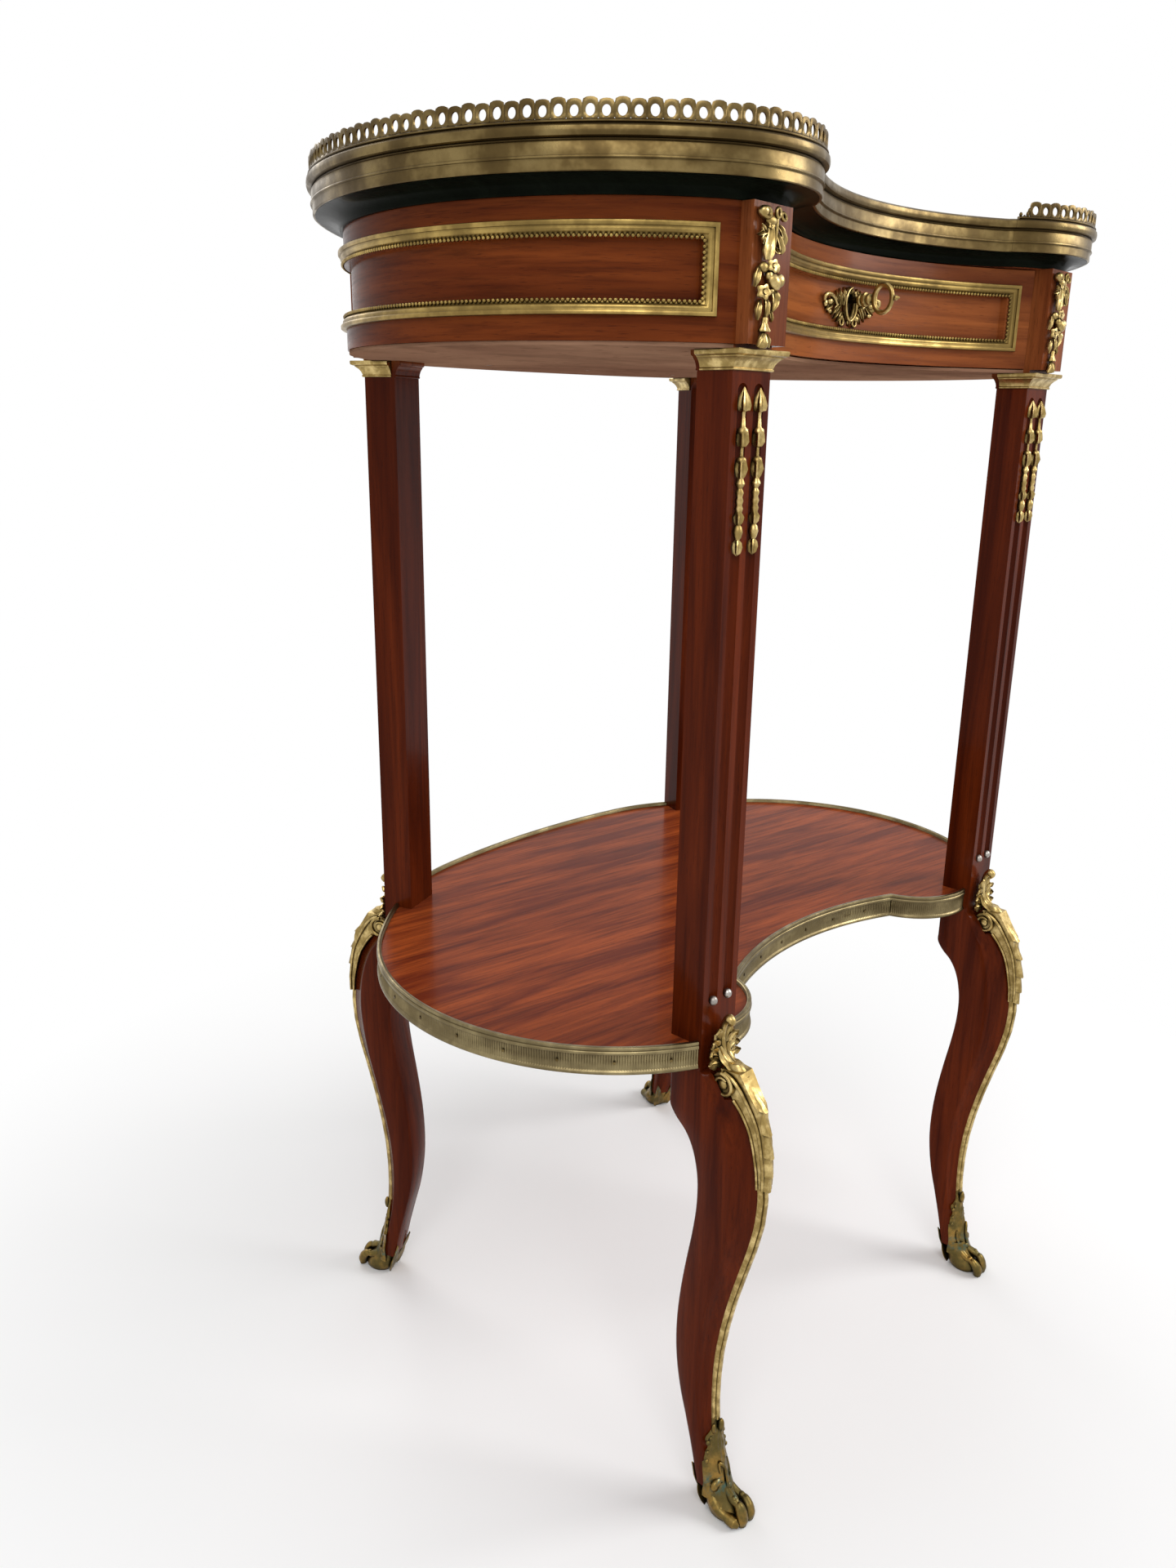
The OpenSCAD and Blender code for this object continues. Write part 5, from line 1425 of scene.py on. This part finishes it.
# Key, with distances out from the drawer's field: stem, bit, collar, finial, bow and the buds at its foot
STEM_PROFILE = [(0.1, -13.8), (1.6, -13.6), (1.7, 0), (1.7, 6.4), (2, 7.2), (2.4, 7.6)]
BIT = [(-13.3, -5.9), (-13.3, -1), (-10.1, -1), (-10.1, -5.9)]
BIT_HALF = 0.7
COLLAR_PROFILE = [
    (0.2, 7.5), (2.5, 7.6), (3.2, 8), (3.35, 8.8), (3.2, 9.7), (2.7, 10.1), (2.9, 10.4), (3.7, 10.8),
    (3.95, 11.7), (3.7, 12.6), (2.7, 13), (2.4, 13.3), (3, 13.7), (3.15, 14.5), (2.9, 15.3), (1.9, 15.8),
    (1.5, 16.4), (0.2, 16.6),
]
FINIAL_PROFILE = [
    (0.1, 29), (1, 29.2), (0.8, 29.9), (1.5, 30.6), (1.5, 31.2), (1, 31.8), (0.7, 32.6), (0.1, 33.4),
]
BOW_OUT = 23
BOW_RADII = (5.55, 7.2)
BOW_STEPS = 40
BUD_OUT = 17.9
BUD_RISE = 2.3


def key_pieces():
    at = facing(0, FIELD_FRONT, KEY_Z)
    bm = bmesh.new()
    lathe(bm, STEM_PROFILE, at, segments=20)
    skin(bm, [[(x, FIELD_FRONT - out, KEY_Z + z) for out, z in BIT] for x in (-BIT_HALF, BIT_HALF)])
    make_object("key_stem", bm, DARK_BRASS, body="key")
    bm = bmesh.new()
    lathe(bm, COLLAR_PROFILE, at, segments=32)
    rings = []
    for j in range(BOW_STEPS):
        a = 2 * math.pi * j / BOW_STEPS
        c, v = math.cos(a), math.sin(a)
        thick = 1.35 + 0.3 * max(0, c) ** 3
        ring = []
        for i in range(10):
            b = 2 * math.pi * i / 10
            out = BOW_OUT - c * (BOW_RADII[0] + thick * math.cos(b))
            rise = v * (BOW_RADII[1] + thick * math.cos(b))
            ring.append((thick * 0.95 * math.sin(b), FIELD_FRONT - out, KEY_Z + rise))
        rings.append(ring)
    skin(bm, rings, loop=True)
    for s in (-1, 1):
        ball(bm, (0, FIELD_FRONT - BUD_OUT, KEY_Z + s * BUD_RISE), (1.1, 1.5, 1.3))
    lathe(bm, FINIAL_PROFILE, at, segments=20)
    piece = make_object("key_bow", bm, GILT, body="key", smooth=50)
    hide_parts("key")


sabots()
stile_mounts()
keyhole_plate()
key_pieces()


def seen_rays(tree):
    """1 for the rays that show the surround: from the camera, in reflections and through glass."""
    path = add_node(tree, "ShaderNodeLightPath")
    either = math_node(tree, "MAXIMUM", path.outputs["Is Camera Ray"], path.outputs["Is Transmission Ray"])
    return math_node(tree, "MAXIMUM", either, path.outputs["Is Glossy Ray"])


def mix_surfaces(tree, factor, low, high, output):
    """Shows one shader where the factor is 0 and the other where it is 1."""
    mix = add_node(tree, "ShaderNodeMixShader")
    for socket, value in zip(mix.inputs, (factor, low.outputs[0], high.outputs[0])):
        tree.links.new(value, socket)
    tree.links.new(mix.outputs[0], tree.nodes[output].inputs["Surface"])


# Floor, in metres: its radius, and where it begins and ends to fade into the white surround
WHITE = (1, 1, 1)
FLOOR_COLOUR = (0.93, 0.93, 0.93)
FLOOR_R = 2.6
FLOOR_FADE = (0.24, 0.68)


def pale_floor():
    bm = bmesh.new()
    bmesh.ops.create_circle(bm, cap_ends=True, segments=96, radius=FLOOR_R)
    mesh = bpy.data.meshes.new("floor")
    bm.to_mesh(mesh)
    bm.free()
    floor = bpy.data.objects.new("floor", mesh)
    bpy.context.scene.collection.objects.link(floor)
    material, tree, shader = new_material("floor")
    feed(tree, shader, Base_Color=FLOOR_COLOUR, Roughness=0.8, Specular_IOR_Level=0.1)
    place = add_node(tree, "ShaderNodeNewGeometry")
    far = add_node(tree, "ShaderNodeVectorMath", operation="LENGTH")
    tree.links.new(place.outputs["Position"], far.inputs[0])
    fade = range_node(tree, far.outputs["Value"], *FLOOR_FADE)
    white = add_node(tree, "ShaderNodeEmission")
    feed(tree, white, Color=WHITE)
    mix_surfaces(tree, math_node(tree, "MULTIPLY", fade, seen_rays(tree)), shader, white, "Material Output")
    mesh.materials.append(material)


SKY_STRENGTH = 0.53
# Soft boxes: place in metres, height of their aim, size and power
SOFT_BOXES = {
    "key light": ((-1.5, -1.3, 2.0), 0.45, 1.5, 21),
    "right light": ((1.4, -1.5, 1.5), 0.5, 1.2, 31),
    "back light": ((0.4, 1.9, 1.8), 0.5, 1.4, 14),
}


def studio_light():
    """A surround that lights the table softly and shows white, and three soft boxes."""
    world = bpy.data.worlds.new("studio")
    bpy.context.scene.world = world
    world.use_nodes = True
    tree = world.node_tree
    light = tree.nodes["Background"]
    feed(tree, light, Color=WHITE, Strength=SKY_STRENGTH)
    shown = add_node(tree, "ShaderNodeBackground")
    feed(tree, shown, Color=WHITE, Strength=1.0)
    mix_surfaces(tree, seen_rays(tree), light, shown, "World Output")
    for name, (place, aim, size, power) in SOFT_BOXES.items():
        soft_box(name, place, (0, 0, aim), size, power)


def soft_box(name, place, aim, size, power):
    lamp = bpy.data.lights.new(name, "AREA")
    lamp.shape = "SQUARE"
    lamp.size = size
    lamp.energy = power
    box = bpy.data.objects.new(name, lamp)
    box.location = place
    box.rotation_euler = (Vector(aim) - Vector(place)).to_track_quat("-Z", "Y").to_euler()
    bpy.context.scene.collection.objects.link(box)


# The photograph's camera, solved from the posts, the bands and the feet
CAMERA_PLACE = (-622.3, -490.9 + CENTRE_Y, 627.6)
CAMERA_YAW = -46.75
CAMERA_PITCH = -17.04
CAMERA_ROLL = 0.84
PHOTO_HEIGHT = 1920
FOCAL_PIXELS = 1462.5
SENSOR = 36.0


def photo_camera():
    camera = bpy.data.cameras.new("camera")
    camera.sensor_width = SENSOR
    camera.lens = FOCAL_PIXELS / PHOTO_HEIGHT * SENSOR
    camera.clip_start = 0.01
    stand = bpy.data.objects.new("camera", camera)
    yaw, pitch, roll = (math.radians(a) for a in (CAMERA_YAW, CAMERA_PITCH, CAMERA_ROLL))
    level = Vector((-math.sin(yaw), math.cos(yaw), 0))
    right = Vector((math.cos(yaw), math.sin(yaw), 0))
    up = Vector((0, 0, 1))
    forward = level * math.cos(pitch) + up * math.sin(pitch)
    above = up * math.cos(pitch) - level * math.sin(pitch)
    side = right * math.cos(roll) + above * math.sin(roll)
    top = above * math.cos(roll) - right * math.sin(roll)
    turn = Matrix((side, top, -forward)).transposed()
    stand.matrix_world = Matrix.Translation(Vector(CAMERA_PLACE) * MM) @ turn.to_4x4()
    bpy.context.scene.collection.objects.link(stand)
    bpy.context.scene.camera = stand


pale_floor()
studio_light()
photo_camera()
bpy.context.scene.view_settings.view_transform = "Standard"
